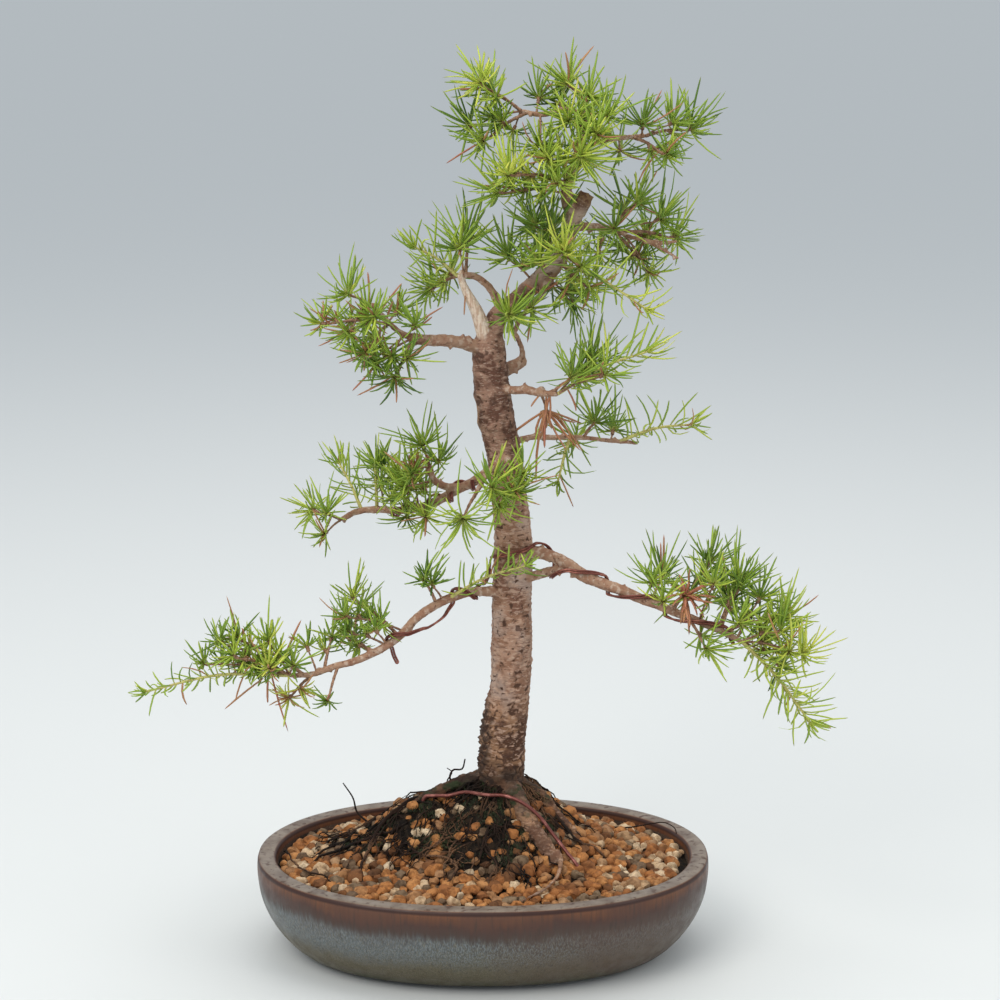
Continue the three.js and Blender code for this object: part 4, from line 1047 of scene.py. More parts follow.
@dataclass(frozen=True)
class GlazeFinish(Finish):
    """Grey-blue glaze that ran down in streaks from an orange-brown rim, by its height in millimetres."""

    BODY = (
        (0.0, (0.050, 0.043, 0.018)), (0.14, (0.080, 0.066, 0.034)), (0.32, (0.100, 0.083, 0.046)),
        (0.50, (0.092, 0.080, 0.056)), (0.62, (0.074, 0.066, 0.058)), (0.72, (0.058, 0.040, 0.034)),
        (0.84, (0.068, 0.032, 0.024)), (0.92, (0.120, 0.047, 0.023)), (1.0, (0.175, 0.070, 0.031)),
    )
    # COOL is blue-grey glaze laid more toward the left end and BROWN brown glaze laid more toward the right:
    # partly the glaze's colours, partly painted light from the left and painted shade on the right
    RUST, COOL = (0.085, 0.038, 0.026), (0.100, 0.118, 0.128)
    STREAK, FAINT = (0.185, 0.215, 0.225), (0.185, 0.165, 0.115)
    BROWN, DARK = (0.090, 0.052, 0.039), (0.038, 0.029, 0.024)
    # CREASE is painted shade: a dark red band round the lip, where the crease under the rim lies in shadow
    STAIN, CREASE = (0.040, 0.042, 0.014), (0.030, 0.011, 0.009)
    SPECK = (0.03, 0.022, 0.018)
    RIM = (0.225, 0.185, 0.150)
    RIM_LAYERS = (((0.135, 0.100, 0.078), 90.0, 0.35, 0.7), ((0.080, 0.046, 0.033), 240.0, 0.54, 0.68))
    GRIT = (420.0, 1500.0, 0.22, 0.35)

    def paint(self, board: Board, shader: bpy.types.NodeInputs) -> None:
        """Lays the finish on the shader."""
        point = board.place()
        runs = board.place((1, 1, 0.09))
        z, x = board.height(point), board.height(point, "X")
        drips = board.noise(board.place((1, 1, 0.05)), 420.0, 6.0)
        wander = board.noise(point, 24.0, 2.0)
        level = board.maths("ADD", z, board.times(board.maths("SUBTRACT", drips, 0.5), 9.0))
        level = board.maths("ADD", level, board.times(board.maths("SUBTRACT", wander, 0.5), 12.0))
        spots, ranged = partial(board.spots, point), board.range
        # brown grows toward the right end and cool blue-grey toward the left: partly the glaze, partly
        # painted light and shade across the pot
        brown = board.times(spots(15.0, 0.44, 0.60), ranged(z, 50.0, 38.0), ranged(x, 10.0, 70.0, 0.35, 1.0))
        cool = (ranged(level, 14.0, 30.0), ranged(level, 45.0, 37.0), ranged(x, 40.0, -60.0, 0.0, 0.75))
        thread = ranged(board.noise(runs, 2100.0, 4.0), 0.44, 0.62)
        band = board.times(ranged(level, 15.0, 31.0), ranged(level, 43.0, 37.0))
        layers = (
            (self.RUST, spots(22.0, 0.46, 0.60), ranged(level, 45.0, 50.0), 0.7),
            (self.COOL, *cool),
            (self.STREAK, thread, band, 0.8),
            (self.FAINT, ranged(board.noise(runs, 1700.0, 4.0), 0.48, 0.64), 0.45,
             ranged(level, 45.0, 36.0)),
            (self.BROWN, brown, 0.62),
            (self.DARK, ranged(board.noise(runs, 800.0, 4.0), 0.52, 0.72), 0.5),
            (self.STAIN, spots(40.0, 0.42, 0.62), ranged(z, 12.0, 2.0), 0.85),
            # painted shade of the crease under the lip
            (self.CREASE, ranged(z, 54.4, 55.8), ranged(z, 57.7, 57.0), 0.92),
            (board.layers(point, self.RIM, self.RIM_LAYERS), ranged(z, 57.3, 57.8)),
            (self.SPECK, spots(900.0, 0.69, 0.74), 0.7),
        )
        body = board.ramp(board.maths("DIVIDE", level, POT_HEIGHT), self.BODY)
        for colour, *masks in layers:
            body = board.blend(board.times(*masks), body, colour)
        board.feed(shader["Base Color"], body)
        board.feed(shader["Roughness"], ranged(board.noise(point, 120.0, 3.0), 0.3, 0.7, 0.36, 0.55))
        shader["Specular IOR Level"].default_value = 0.3
        shader["Coat Weight"].default_value = 0.12
        shader["Coat Roughness"].default_value = 0.25
        board.feed(shader["Normal"], board.gritty(runs, self.GRIT))


@dataclass(frozen=True)
class SpottedFinish(Finish):
    """A colour with soft blotches of others over it, on a roughened surface."""

    colour: tuple
    spots: tuple
    grit: tuple
    roughness: float
    metallic: float = 0.0
    specular: float = 0.5
    roughest: float = 0.0

    def base(self, board: Board, point: bpy.types.NodeSocket) -> object:
        """Returns the colour under the blotches."""
        return self.colour

    def paint(self, board: Board, shader: bpy.types.NodeInputs) -> None:
        """Lays the finish on the shader."""
        point = board.place()
        board.feed(shader["Base Color"], board.layers(point, self.base(board, point), self.spots))
        shader["Roughness"].default_value = self.roughness
        if self.roughest:
            worn = board.range(board.noise(point, 500.0, 3.0), 0.3, 0.7, self.roughness, self.roughest)
            board.feed(shader["Roughness"], worn)
        shader["Metallic"].default_value = self.metallic
        shader["Specular IOR Level"].default_value = self.specular
        board.feed(shader["Normal"], board.gritty(point, self.grit))


@dataclass(frozen=True)
class RootFinish(SpottedFinish):
    """Thin surface roots, from black-brown to tan."""

    def base(self, board: Board, point: bpy.types.NodeSocket) -> bpy.types.NodeSocket:
        """Returns a slow change between the roots' colours, which are stops here."""
        return board.ramp(board.noise(point, 28.0, 2.0), self.colour)


def twig_finish(name: str, light: tuple, dark: tuple) -> SpottedFinish:
    """Returns the finish of a slim twig, from its two colours."""
    spots = ((dark, 420.0, 0.40, 0.62), (tuple(0.4 * part for part in dark), 1300.0, 0.58, 0.70))
    return SpottedFinish(name, light, spots, (900.0, 2400.0, 0.5, 0.2), 0.62)


def wire_finish(name: str, colour: tuple, worn: tuple) -> SpottedFinish:
    """Returns the finish of copper-brown wire, lighter copper in places: partly wear, partly painted
    highlight.
    """
    # the first blotches are the lighter copper, partly wear and partly painted highlight
    spots = ((worn, 160.0, 0.48, 0.68), ((0.04, 0.015, 0.012), 1200.0, 0.62, 0.72))
    return SpottedFinish(name, colour, spots, (900.0, 2600.0, 0.2, 0.1), 0.30, 0.45, roughest=0.48)


def plain_finish(name: str, colour: tuple, metallic: float, roughness: float) -> SpottedFinish:
    """Returns the finish of moulded plastic or bright wire."""
    spots = ((tuple(0.7 * part for part in colour), 300.0, 0.4, 0.6),)
    return SpottedFinish(name, colour, spots, (600.0, 1800.0, 0.2, 0.1), roughness, metallic)


@dataclass(frozen=True)
class GrainFinish(Finish):
    """Baked clay and pumice grains, each with its own tone."""

    TONES = (
        (0.0, (0.110, 0.050, 0.022)), (0.14, (0.28, 0.110, 0.036)), (0.30, (0.38, 0.155, 0.048)),
        (0.46, (0.47, 0.220, 0.078)), (0.60, (0.31, 0.165, 0.080)), (0.68, (0.48, 0.320, 0.185)),
        (0.84, (0.66, 0.530, 0.370)), (0.89, (0.130, 0.080, 0.048)), (1.0, (0.21, 0.148, 0.092)),
    )
    SHADES = (((0.50, 0.45, 0.40), 260.0, 0.40, 0.68), ((1.35, 1.3, 1.2), 900.0, 0.56, 0.72))
    PIT = (0.07, 0.035, 0.018)

    def paint(self, board: Board, shader: bpy.types.NodeInputs) -> None:
        """Lays the finish on the shader."""
        point = board.place()
        colour = board.ramp(board.mark("tone"), self.TONES)
        for shade, scale, low, high in self.SHADES:
            colour = board.blend(board.spots(point, scale, low, high), colour, shade, "MULTIPLY")
        pits = board.times(board.spots(point, 1500.0, 0.62, 0.72), 0.7)
        board.feed(shader["Base Color"], board.blend(pits, colour, self.PIT))
        shader["Roughness"].default_value = 0.86
        shader["Specular IOR Level"].default_value = 0.3
        board.feed(shader["Normal"], board.gritty(point, (420.0, 1300.0, 0.55, 0.55)))


@dataclass(frozen=True)
class MossFinish(Finish):
    """Short dark moss with lighter tips."""

    DEEP = ((0.0, (0.006, 0.009, 0.004)), (1.0, (0.014, 0.026, 0.007)))
    TIPS = ((0.0, (0.010, 0.016, 0.005)), (1.0, (0.045, 0.060, 0.014)))

    def paint(self, board: Board, shader: bpy.types.NodeInputs) -> None:
        """Lays the finish on the shader."""
        deep, tips = (board.ramp(board.mark("tone"), stops) for stops in (self.DEEP, self.TIPS))
        colour = board.blend(board.mark("along"), deep, tips)
        colour = board.layers(board.place(), colour, (((0.10, 0.075, 0.03), 900.0, 0.60, 0.72),))
        board.feed(shader["Base Color"], colour)
        shader["Roughness"].default_value = 0.7


@dataclass(frozen=True)
class BarkFinish(Finish):
    """Larch bark: red-brown flakes on the trunk, pinkish tan on young wood, bleached dead wood."""

    # CRACK darkens the low cracks between the flakes: partly the inner bark's colour, partly painted shade
    CRACK = (0.080, 0.037, 0.022)
    BODY = (0.270, 0.140, 0.086)
    BODY_LAYERS = (
        ((0.40, 0.240, 0.165), 85.0, 0.42, 0.60, 1.0), ((0.170, 0.072, 0.045), 38.0, 0.50, 0.60, 0.75),
        ((0.47, 0.350, 0.290), 55.0, 0.50, 0.64, 0.8),
    )
    FOOT, FOOT_SPOTS = (0.095, 0.042, 0.023), ((0.31, 0.170, 0.093), 75.0, 0.44, 0.58)
    TOP, TOP_SPOTS = (0.125, 0.055, 0.036), ((0.30, 0.170, 0.120), 80.0, 0.44, 0.58)
    LEADER, SNAG = (0.50, 0.38, 0.32), (0.150, 0.080, 0.055)
    # PINK on the raised flakes and EDGE on the flake edges are the bark's pinkish-grey flakes, partly
    # painted highlight where the flakes catch the light
    PINK, EDGE = (0.49, 0.325, 0.240), (0.60, 0.46, 0.375)
    SCAR, LINE, DOT = (0.075, 0.034, 0.023), (0.105, 0.048, 0.030), (0.060, 0.032, 0.023)
    RUST, RUST_SPOTS = (0.016, 0.009, 0.006), ((0.085, 0.040, 0.021), 130.0, 0.45, 0.62)
    YOUNG = (0.37, 0.225, 0.150)
    YOUNG_SPOTS = (((0.30, 0.155, 0.098), 160.0, 0.40, 0.62), ((0.50, 0.37, 0.29), 300.0, 0.50, 0.66))
    FLECK = (0.13, 0.062, 0.038)
    BARE, BARE_GRAIN = (0.76, 0.62, 0.51), (0.56, 0.39, 0.29)
    BARE_SPOTS = ((0.80, 0.70, 0.61), 200.0, 0.56, 0.70)
    WOUND, WOUND_SPOTS = (0.46, 0.27, 0.13), ((0.22, 0.095, 0.045), 500.0, 0.45, 0.6)
    HOLE, MOSS = (0.028, 0.015, 0.011), (0.022, 0.032, 0.010)

    def paint(self, board: Board, shader: bpy.types.NodeInputs) -> None:
        """Lays the finish on the shader."""
        point = board.place()
        flat = board.place((1, 1, 3.2))
        old, young = self.old(board, point, flat), self.young(board, point)
        colour = board.blend(board.range(board.mark("age"), 0.50, 0.90), young, old)
        grain = board.noise(board.place((1, 1, 0.12)), 800.0, 3.0)
        dead = board.blend(board.range(grain, 0.46, 0.62), self.BARE, self.BARE_GRAIN)
        colour = board.blend(board.mark("bare"), colour, board.layers(point, dead, (self.BARE_SPOTS,)))
        wound = board.layers(point, self.WOUND, (self.WOUND_SPOTS,))
        colour = board.blend(board.mark("wound"), colour, wound)
        colour = board.blend(board.mark("dark"), colour, self.HOLE)
        green = board.times(board.mark("moss"), board.spots(point, 160.0, 0.50, 0.62))
        board.feed(shader["Base Color"], board.blend(green, colour, self.MOSS))
        shader["Roughness"].default_value = 0.80
        shader["Specular IOR Level"].default_value = 0.35
        board.feed(shader["Normal"], board.gritty(flat, (300.0, 1000.0, 0.9, 0.6)))

    def old(self, board: Board, point: bpy.types.NodeSocket, flat: bpy.types.NodeSocket) -> object:
        """Returns the colour of old bark, by its height in millimetres.

        Args:
            board: the material's board.
            point: the coordinates.
            flat: the coordinates squeezed for flat flakes.

        Returns:
            The colour.
        """
        z, relief = board.height(point), board.mark("relief")
        spots, ranged = partial(board.spots, point), board.range
        low = ranged(z, 92.0, 106.0, 0.35, 1.0)
        # the masks below for the pink raised flakes and the pale flecks on their edges are partly painted
        # highlight
        scales = board.spots(flat, 150.0, 0.50, 0.57, 6.0)
        edges = board.spots(flat, 420.0, 0.57, 0.66, 5.0)
        lines = board.spots(board.place((1, 1, 5.0)), 200.0, 0.57, 0.63, 7.0)
        body = self.BODY
        for colour, scale, soft, hard, share in self.BODY_LAYERS:
            body = board.blend(board.times(spots(scale, soft, hard), share), body, colour)
        layers = (
            (board.layers(point, self.FOOT, (self.FOOT_SPOTS,)), ranged(z, 165.0, 128.0)),
            (board.layers(point, self.TOP, (self.TOP_SPOTS,)), ranged(z, 262.0, 300.0)),
            (self.LEADER, ranged(z, 392.0, 412.0)),
            (self.SNAG, ranged(z, 438.0, 444.0)),
            # partly painted highlight: pink on the raised flakes, pale flecks on the flake edges
            (self.PINK, scales, ranged(relief, 0.30, 0.6), ranged(z, 330.0, 240.0, 0.45, 0.85), low),
            (self.EDGE, edges, 0.45, ranged(z, 115.0, 170.0, 0.35, 1.0)),
            (self.SCAR, spots(110.0, 0.66, 0.70), 0.8),
            (self.LINE, lines, 0.55),
            (self.DOT, spots(300.0, 0.68, 0.73), 0.75),
            # dark low cracks: partly inner bark, partly painted shade
            (self.CRACK, ranged(relief, 0.30, 0.08)),
            (board.layers(point, self.RUST, (self.RUST_SPOTS,)), board.mark("foot"), 0.85),
        )
        for colour, *masks in layers:
            body = board.blend(board.times(*masks), body, colour)
        return body

    def young(self, board: Board, point: bpy.types.NodeSocket) -> bpy.types.NodeSocket:
        """Returns the colour of young bark."""
        young = board.layers(point, self.YOUNG, self.YOUNG_SPOTS)
        return board.blend(board.times(board.spots(point, 420.0, 0.60, 0.68), 0.75), young, self.FLECK)


@dataclass(frozen=True)
class NeedleFinish(Finish):
    """Soft larch needles, from bluish dark green to new yellow-green, some gone rusty."""

    # GREENS runs from dark bluish green to yellow-green by each spray's tone; the darker, bluer end is
    # partly older needles and partly painted shade on sprays at the back
    GREENS = (
        (0.0, (0.065, 0.140, 0.024)), (0.25, (0.155, 0.265, 0.036)), (0.5, (0.290, 0.430, 0.056)),
        (0.75, (0.480, 0.590, 0.080)), (1.0, (0.68, 0.71, 0.13)),
    )
    ROOT, TIP = (0.50, 0.53, 0.14), (0.26, 0.23, 0.06)
    RUST = ((0.34, 0.085, 0.055), (0.58, 0.27, 0.17))

    def paint(self, board: Board, shader: bpy.types.NodeInputs) -> None:
        """Lays the finish on the shader."""
        along = board.mark("along")
        green = board.ramp(board.mark("tone"), self.GREENS)
        base = board.blend(board.range(along, 0.30, 0.0), green, self.ROOT)
        base = board.blend(board.times(board.range(along, 0.86, 1.0), 0.5), base, self.TIP)
        rust = board.blend(board.noise(board.place(), 300.0, 2.0), *self.RUST)
        board.feed(shader["Base Color"], board.blend(board.mark("dry"), base, rust))
        shader["Roughness"].default_value = 0.45
        shader["Subsurface Weight"].default_value = 0.12
        shader["Subsurface Radius"].default_value = (0.0012, 0.0018, 0.0004)
        shader["Specular IOR Level"].default_value = 0.3


@dataclass(frozen=True)
class FloorFinish(Finish):
    """The plain pale floor."""

    def paint(self, board: Board, shader: bpy.types.NodeInputs) -> None:
        """Lays the finish on the shader."""
        shader["Base Color"].default_value = (0.66, 0.695, 0.71, 1.0)
        shader["Roughness"].default_value = 0.9
        shader["Specular IOR Level"].default_value = 0.0


GLAZE = GlazeFinish("run_glaze")
CLAY_SPOTS = (((0.038, 0.023, 0.016), 60.0, 0.4, 0.65), ((0.20, 0.15, 0.11), 1400.0, 0.58, 0.7))
CLAY = SpottedFinish("bare_clay", (0.078, 0.046, 0.031), CLAY_SPOTS, (300.0, 1500.0, 0.35, 0.3), 0.78)
GRAIN = GrainFinish("soil_grains")
HUMUS_SPOTS = (((0.024, 0.015, 0.009), 240.0, 0.42, 0.62), ((0.14, 0.085, 0.045), 1100.0, 0.64, 0.72))
HUMUS_GRIT = (350.0, 1400.0, 0.8, 0.8)
HUMUS = SpottedFinish("humus", (0.007, 0.005, 0.004), HUMUS_SPOTS, HUMUS_GRIT, 0.9, specular=0.2)
MOSS = MossFinish("moss")
BARK = BarkFinish("larch_bark")
ROOT_STOPS = ((0.38, (0.007, 0.005, 0.004)), (0.52, (0.028, 0.014, 0.009)), (0.63, (0.15, 0.080, 0.044)))
ROOT_SPOTS = (((0.016, 0.010, 0.008), 900.0, 0.5, 0.66),)
ROOT = RootFinish("fine_root", ROOT_STOPS, ROOT_SPOTS, (700.0, 2000.0, 0.5, 0.25), 0.85, specular=0.2)
NEEDLE = NeedleFinish("needles")
TWIG = twig_finish("twig", (0.36, 0.20, 0.12), (0.19, 0.095, 0.055))
STEM = twig_finish("green_stem", (0.58, 0.56, 0.17), (0.46, 0.40, 0.14))
# each wire's second colour is the lighter copper of its blotches: partly wear, partly painted highlight
WIRE = wire_finish("training_wire", (0.17, 0.050, 0.036), (0.36, 0.135, 0.095))
TIE = wire_finish("tie_wire_copper", (0.15, 0.040, 0.032), (0.32, 0.120, 0.100))
NET = plain_finish("net_plastic", (0.030, 0.033, 0.032), 0.0, 0.6)
STAPLE = plain_finish("staple_wire", (0.62, 0.63, 0.64), 1.0, 0.35)
FLOOR = FloorFinish("floor")


def seeded(name: str) -> np.random.Generator:
    """Returns a stream of random draws that depends only on a name."""
    return np.random.default_rng(list(name.encode()))


def noises(points: np.ndarray) -> np.ndarray:
    """Returns a soft noise from -1 to 1 at each point."""
    return np.array([noise.noise(Vector(point)) for point in points])


def turned_about(draws: np.random.Generator, count: int) -> np.ndarray:
    """Returns random rotation matrices."""
    w, x, y, z = unit(draws.normal(size=(count, 4))).T
    rows = [
        1 - 2 * (y * y + z * z), 2 * (x * y - z * w), 2 * (x * z + y * w),
        2 * (x * y + z * w), 1 - 2 * (x * x + z * z), 2 * (y * z - x * w),
        2 * (x * z - y * w), 2 * (y * z + x * w), 1 - 2 * (x * x + y * y),
    ]
    return np.stack(rows, axis=-1).reshape(count, 3, 3)


@dataclass
class OvalTurning:
    """A body drawn round the pot's oval, ring by ring."""

    name: str
    profile: list
    closed: bool = False
    sides: int = 160

    def build(self) -> bpy.types.Object:
        """Extrudes the first ring through the whole profile.

        Returns:
            The body, closed by flat ends, or into a loop where it is closed.
        """
        bpy.ops.object.select_all(action="DESELECT")
        fill = "NOTHING" if self.closed else "NGON"
        bpy.ops.mesh.primitive_circle_add(vertices=self.sides, radius=MM, fill_type=fill)
        obj = Bench.named(self.name)
        reach, z = self.profile[0]
        ring = Bench.points(obj)[:, :2]
        ring = np.sign(ring) * np.abs(ring) ** (2 / OVAL_POWER) * oval_axes(reach)
        Bench.place(obj, np.column_stack([ring, np.full(len(ring), z)]))
        Bench.edit(obj)
        bpy.ops.mesh.select_mode(type="EDGE")
        for (reach, z), (next_reach, next_z) in zip(self.profile, self.profile[1:]):
            bpy.ops.mesh.extrude_edges_move(TRANSFORM_OT_translate={"value": (0, 0, (next_z - z) * MM)})
            (a0, b0), (a1, b1) = oval_axes(reach), oval_axes(next_reach)
            bpy.ops.transform.resize(value=(a1 / a0, b1 / b0, 1), center_override=(0, 0, 0))
        if not self.closed:
            bpy.ops.mesh.edge_face_add()
        Bench.close()
        Bench.outward(obj)
        return obj


@dataclass
class Pot:
    """The glazed pot: wall, rolled lip, floor, four low feet, drain holes and wire holes."""

    EDGE = (111.0, 3.5)
    OUTER = (
        (112.2, 3.7), (118, 9), (125, 18), (130, 27), (133.2, 36), (134.5, 44), (135, 51), (134.8, 55.6),
    )
    RIM = (
        (134.3, 57.2), (133.2, 57.95), (131.5, 58), (127, 57.9), (125.2, 57.7), (124.1, 57.0),
        (123.6, 55.8),
    )
    INNER = ((123.1, 53), (122.3, 44), (121.4, 34), (118, 24), (113, 16), (108, 12), (102, 10))
    FOOT = (
        (105, 1.0), (105, 4.6), (92, 4.6), (92, 1.0), (92.3, 0.3), (93, 0), (104, 0), (104.7, 0.3),
        (105, 1.0),
    )
    FOOT_GAPS = ((106, 400, 40), (400, 40, 40))
    HOLES = ((DRAIN_X, DRAIN_RADIUS, 48), (WIRE_HOLE_X, WIRE_HOLE_RADIUS, 24))
    CUT_HEIGHT = 5

    def wall(self) -> bpy.types.Object:
        """Builds the turned body with its lip and floor."""
        outer = Route([(reach, 0, z) for reach, z in self.OUTER]).spaced(2.2)[0]
        inner = Route([(reach, 0, z) for reach, z in self.INNER]).spaced(4)[0]
        profile = [self.EDGE, *map(tuple, outer[:, [0, 2]]), *self.RIM, *map(tuple, inner[:, [0, 2]])]
        return OvalTurning("pot_body", profile).build()

    def feet(self) -> bpy.types.Object:
        """Builds the foot ring and cuts it into four feet."""
        ring = OvalTurning("pot_feet", list(self.FOOT), closed=True).build()
        for size in self.FOOT_GAPS:
            scale = tuple(part * MM for part in size)
            place = {"location": (0, 0, self.CUT_HEIGHT * MM), "scale": scale}
            Bench.combine(ring, Bench.primitive("cube", "foot_gap", size=1, **place), "DIFFERENCE")
        return ring

    def build(self) -> bpy.types.Object:
        """Joins the feet, drills the holes and lays the glaze and the bare clay."""
        pot = self.wall()
        Bench.combine(pot, self.feet(), "UNION")
        for side in (-1, 1):
            for x, radius, sides in self.HOLES:
                place = {"location": (side * x * MM, 0, self.CUT_HEIGHT * MM), "vertices": sides}
                bar = Bench.primitive("cylinder", "drill", radius=radius * MM, depth=20 * MM, **place)
                Bench.combine(pot, bar, "DIFFERENCE")
        Bench.outward(pot)
        self.lay(pot)
        Bench.smooth(pot, 40)
        return deliver(Bench.named("pot_glazed"), "glaze", [GLAZE, CLAY], "pot")

    @staticmethod
    def lay(pot: bpy.types.Object) -> None:
        """Leaves the inside and the underside of the pot bare."""
        points = Bench.points(pot)
        numbers = []
        for face in pot.data.polygons:
            x, y, z = points[list(face.vertices)].mean(axis=0)
            below = z < 4.6 and inside_oval(x, y, 104.2)
            under = 3.3 < z < 3.7 and inside_oval(x, y, 111.5)
            inward = face.normal.x * x + face.normal.y * y < 0
            inside = 5 < z < 54 and (inward or face.normal.z > 0.5)
            numbers.append(int(below or under or inside))
        pot.data.materials.append(None)
        pot.data.materials.append(None)
        pot.data.polygons.foreach_set("material_index", np.array(numbers, np.int32))
        Bench.take(pot)


@dataclass
class SoilBed:
    """The dark damp soil that the grains lie on, raised to the root mat."""

    WALL = ((101.6, 13.6), (112.6, 16.2), (117.5, 24), (121, 34), (121.9, 44), (122.6, 51.5))
    TOP_HEIGHT = 51.5
    DROP = 3.2

    def build(self) -> bpy.types.Object:
        """Turns the bed and shapes its top."""
        top = [(reach, self.TOP_HEIGHT) for reach in np.linspace(120.5, 1.5, 64)]
        bed = OvalTurning("soil_bed", [*self.WALL, *top], sides=200).build()
        points = Bench.points(bed)
        upper = points[:, 2] > self.TOP_HEIGHT - 0.5
        x, y = points[upper, 0], points[upper, 1]
        mat = mat_share(x, y)
        lumps = noises(np.column_stack([x / 5, y / 5, np.full(len(x), 3)]))
        fine = noises(np.column_stack([x / 2.2, y / 2.2, np.full(len(x), 9)]))
        height = ground(x, y) - self.DROP + mat * 3.0 + lumps * (0.5 + 1.6 * mat) + fine * mat * 0.9
        points[upper, 2] = height - np.where(inside_oval(x, y, 119), 0.0, 1.0)
        Bench.place(bed, points)
        Bench.smooth(bed, 70)
        return deliver(bed, "soil", [HUMUS], "soil")


@dataclass
class Grains:
    """Rounded grains of baked clay and pumice, laid over the soil in two layers."""

    models: list = field(default_factory=list)
    PITCH = 6.35
    RADIUS = 3.55
    SPREAD = 0.22
    SMALLEST, LARGEST = 2.1, 5.2
    MODELS = 9
    THIRDS = (-42, 42)
    LAYERS = ((1.9, 0.0), (5.0, 0.6))
    MARGIN = 12.6
    CLEAR_OF_TRUNK = 17
    FLATNESS = 0.84

    def model(self, number: int) -> Stamp:
        """Models one lumpy grain of radius 1."""
        bpy.ops.object.select_all(action="DESELECT")
        bpy.ops.mesh.primitive_ico_sphere_add(subdivisions=2, radius=1)
        grain = Bench.named(f"grain_{number}")
        Bench.edit(grain)
        bpy.ops.transform.vertex_random(offset=0.26, uniform=0.6, normal=0.2, seed=11 + number)
        bpy.ops.mesh.vertices_smooth(factor=0.22, repeat=1)
        Bench.close()
        return Stamp.of(grain)

    def lattice(self, draws: np.random.Generator, pitch: float) -> np.ndarray:
        """Returns a jittered lattice of places over the oval."""
        rows = np.arange(-40, 41)
        column, row = np.meshgrid(rows, rows)
        x = (column + 0.5 * (row % 2)) * pitch
        y = row * pitch * math.sqrt(3) / 2
        places = np.column_stack([x.ravel(), y.ravel()])
        return places + draws.uniform(-0.24, 0.24, places.shape) * pitch

    def layer(self, draws: np.random.Generator, copies: list, drop: float, pitch: float) -> None:
        """Lays one layer of grains into three meshes.

        Args:
            draws: random draws.
            copies: the three meshes, left to right.
            drop: how far the grains' middles lie below the ground.
            pitch: distance between neighbours.
        """
        places = self.lattice(draws, pitch)
        size = draws.lognormal(math.log(self.RADIUS), self.SPREAD, len(places))
        size = np.clip(size, self.SMALLEST, self.LARGEST)
        x, y = places.T
        inside = inside_oval(x / (1 - size / 130), y / (1 - size / 100), HALF_LENGTH - self.MARGIN)
        mat = mat_share(x, y)
        clear = (mat < draws.uniform(0.1, 1.5, len(x))) & (from_trunk(x, y) > self.CLEAR_OF_TRUNK)
        places, size, mat = places[inside & clear], size[inside & clear], mat[inside & clear]
        x, y = places.T
        centre = np.column_stack([x, y, ground(x, y) - drop + draws.uniform(-0.8, 0.9, len(x)) + mat * 1.2])
        tone = self.tones(draws, x)
        turn = turned_about(draws, len(x))
        stretch = draws.uniform(0.74, 1.22, (len(x), 3))
        which = draws.integers(0, self.MODELS, len(x))
        third = np.digitize(x, self.THIRDS)
        for number, stamp in enumerate(self.models):
            for part in range(3):
                chosen = np.flatnonzero((which == number) & (third == part))
                if not len(chosen):
                    continue
                shape = stamp.points[None] * stretch[chosen, None] * size[chosen, None, None]
                shape = np.einsum("nij,npj->npi", turn[chosen], shape)
                shape[:, :, 2] *= self.FLATNESS
                copies[part].add(shape + centre[chosen, None], stamp.faces, tone=tone[chosen, None])

    @staticmethod
    def tones(draws: np.random.Generator, x: np.ndarray) -> np.ndarray:
        """Returns a tone for each grain, paler toward both ends of the pot."""
        tone = draws.uniform(0, 0.60, len(x))
        ends = smooth_step(np.abs(x - 5), 45, 105)
        pale = draws.uniform(size=len(x)) < 0.12 + 0.30 * ends
        tone = np.where(pale, draws.uniform(0.60, 0.86, len(x)), tone)
        grey = draws.uniform(size=len(x)) < 0.13
        return np.where(grey, draws.uniform(0.88, 1.0, len(x)), tone)

    def build(self) -> None:
        """Builds the three pieces of grains."""
        self.models = [self.model(number) for number in range(self.MODELS)]
        draws = seeded("grains")
        copies = [Copies(), Copies(), Copies()]
        for drop, wider in self.LAYERS:
            self.layer(draws, copies, drop, self.PITCH + wider)
        for part, name in zip(copies, ("left", "middle", "right")):
            deliver(part.build(f"grains_{name}", 50), "soil", [GRAIN], "soil")


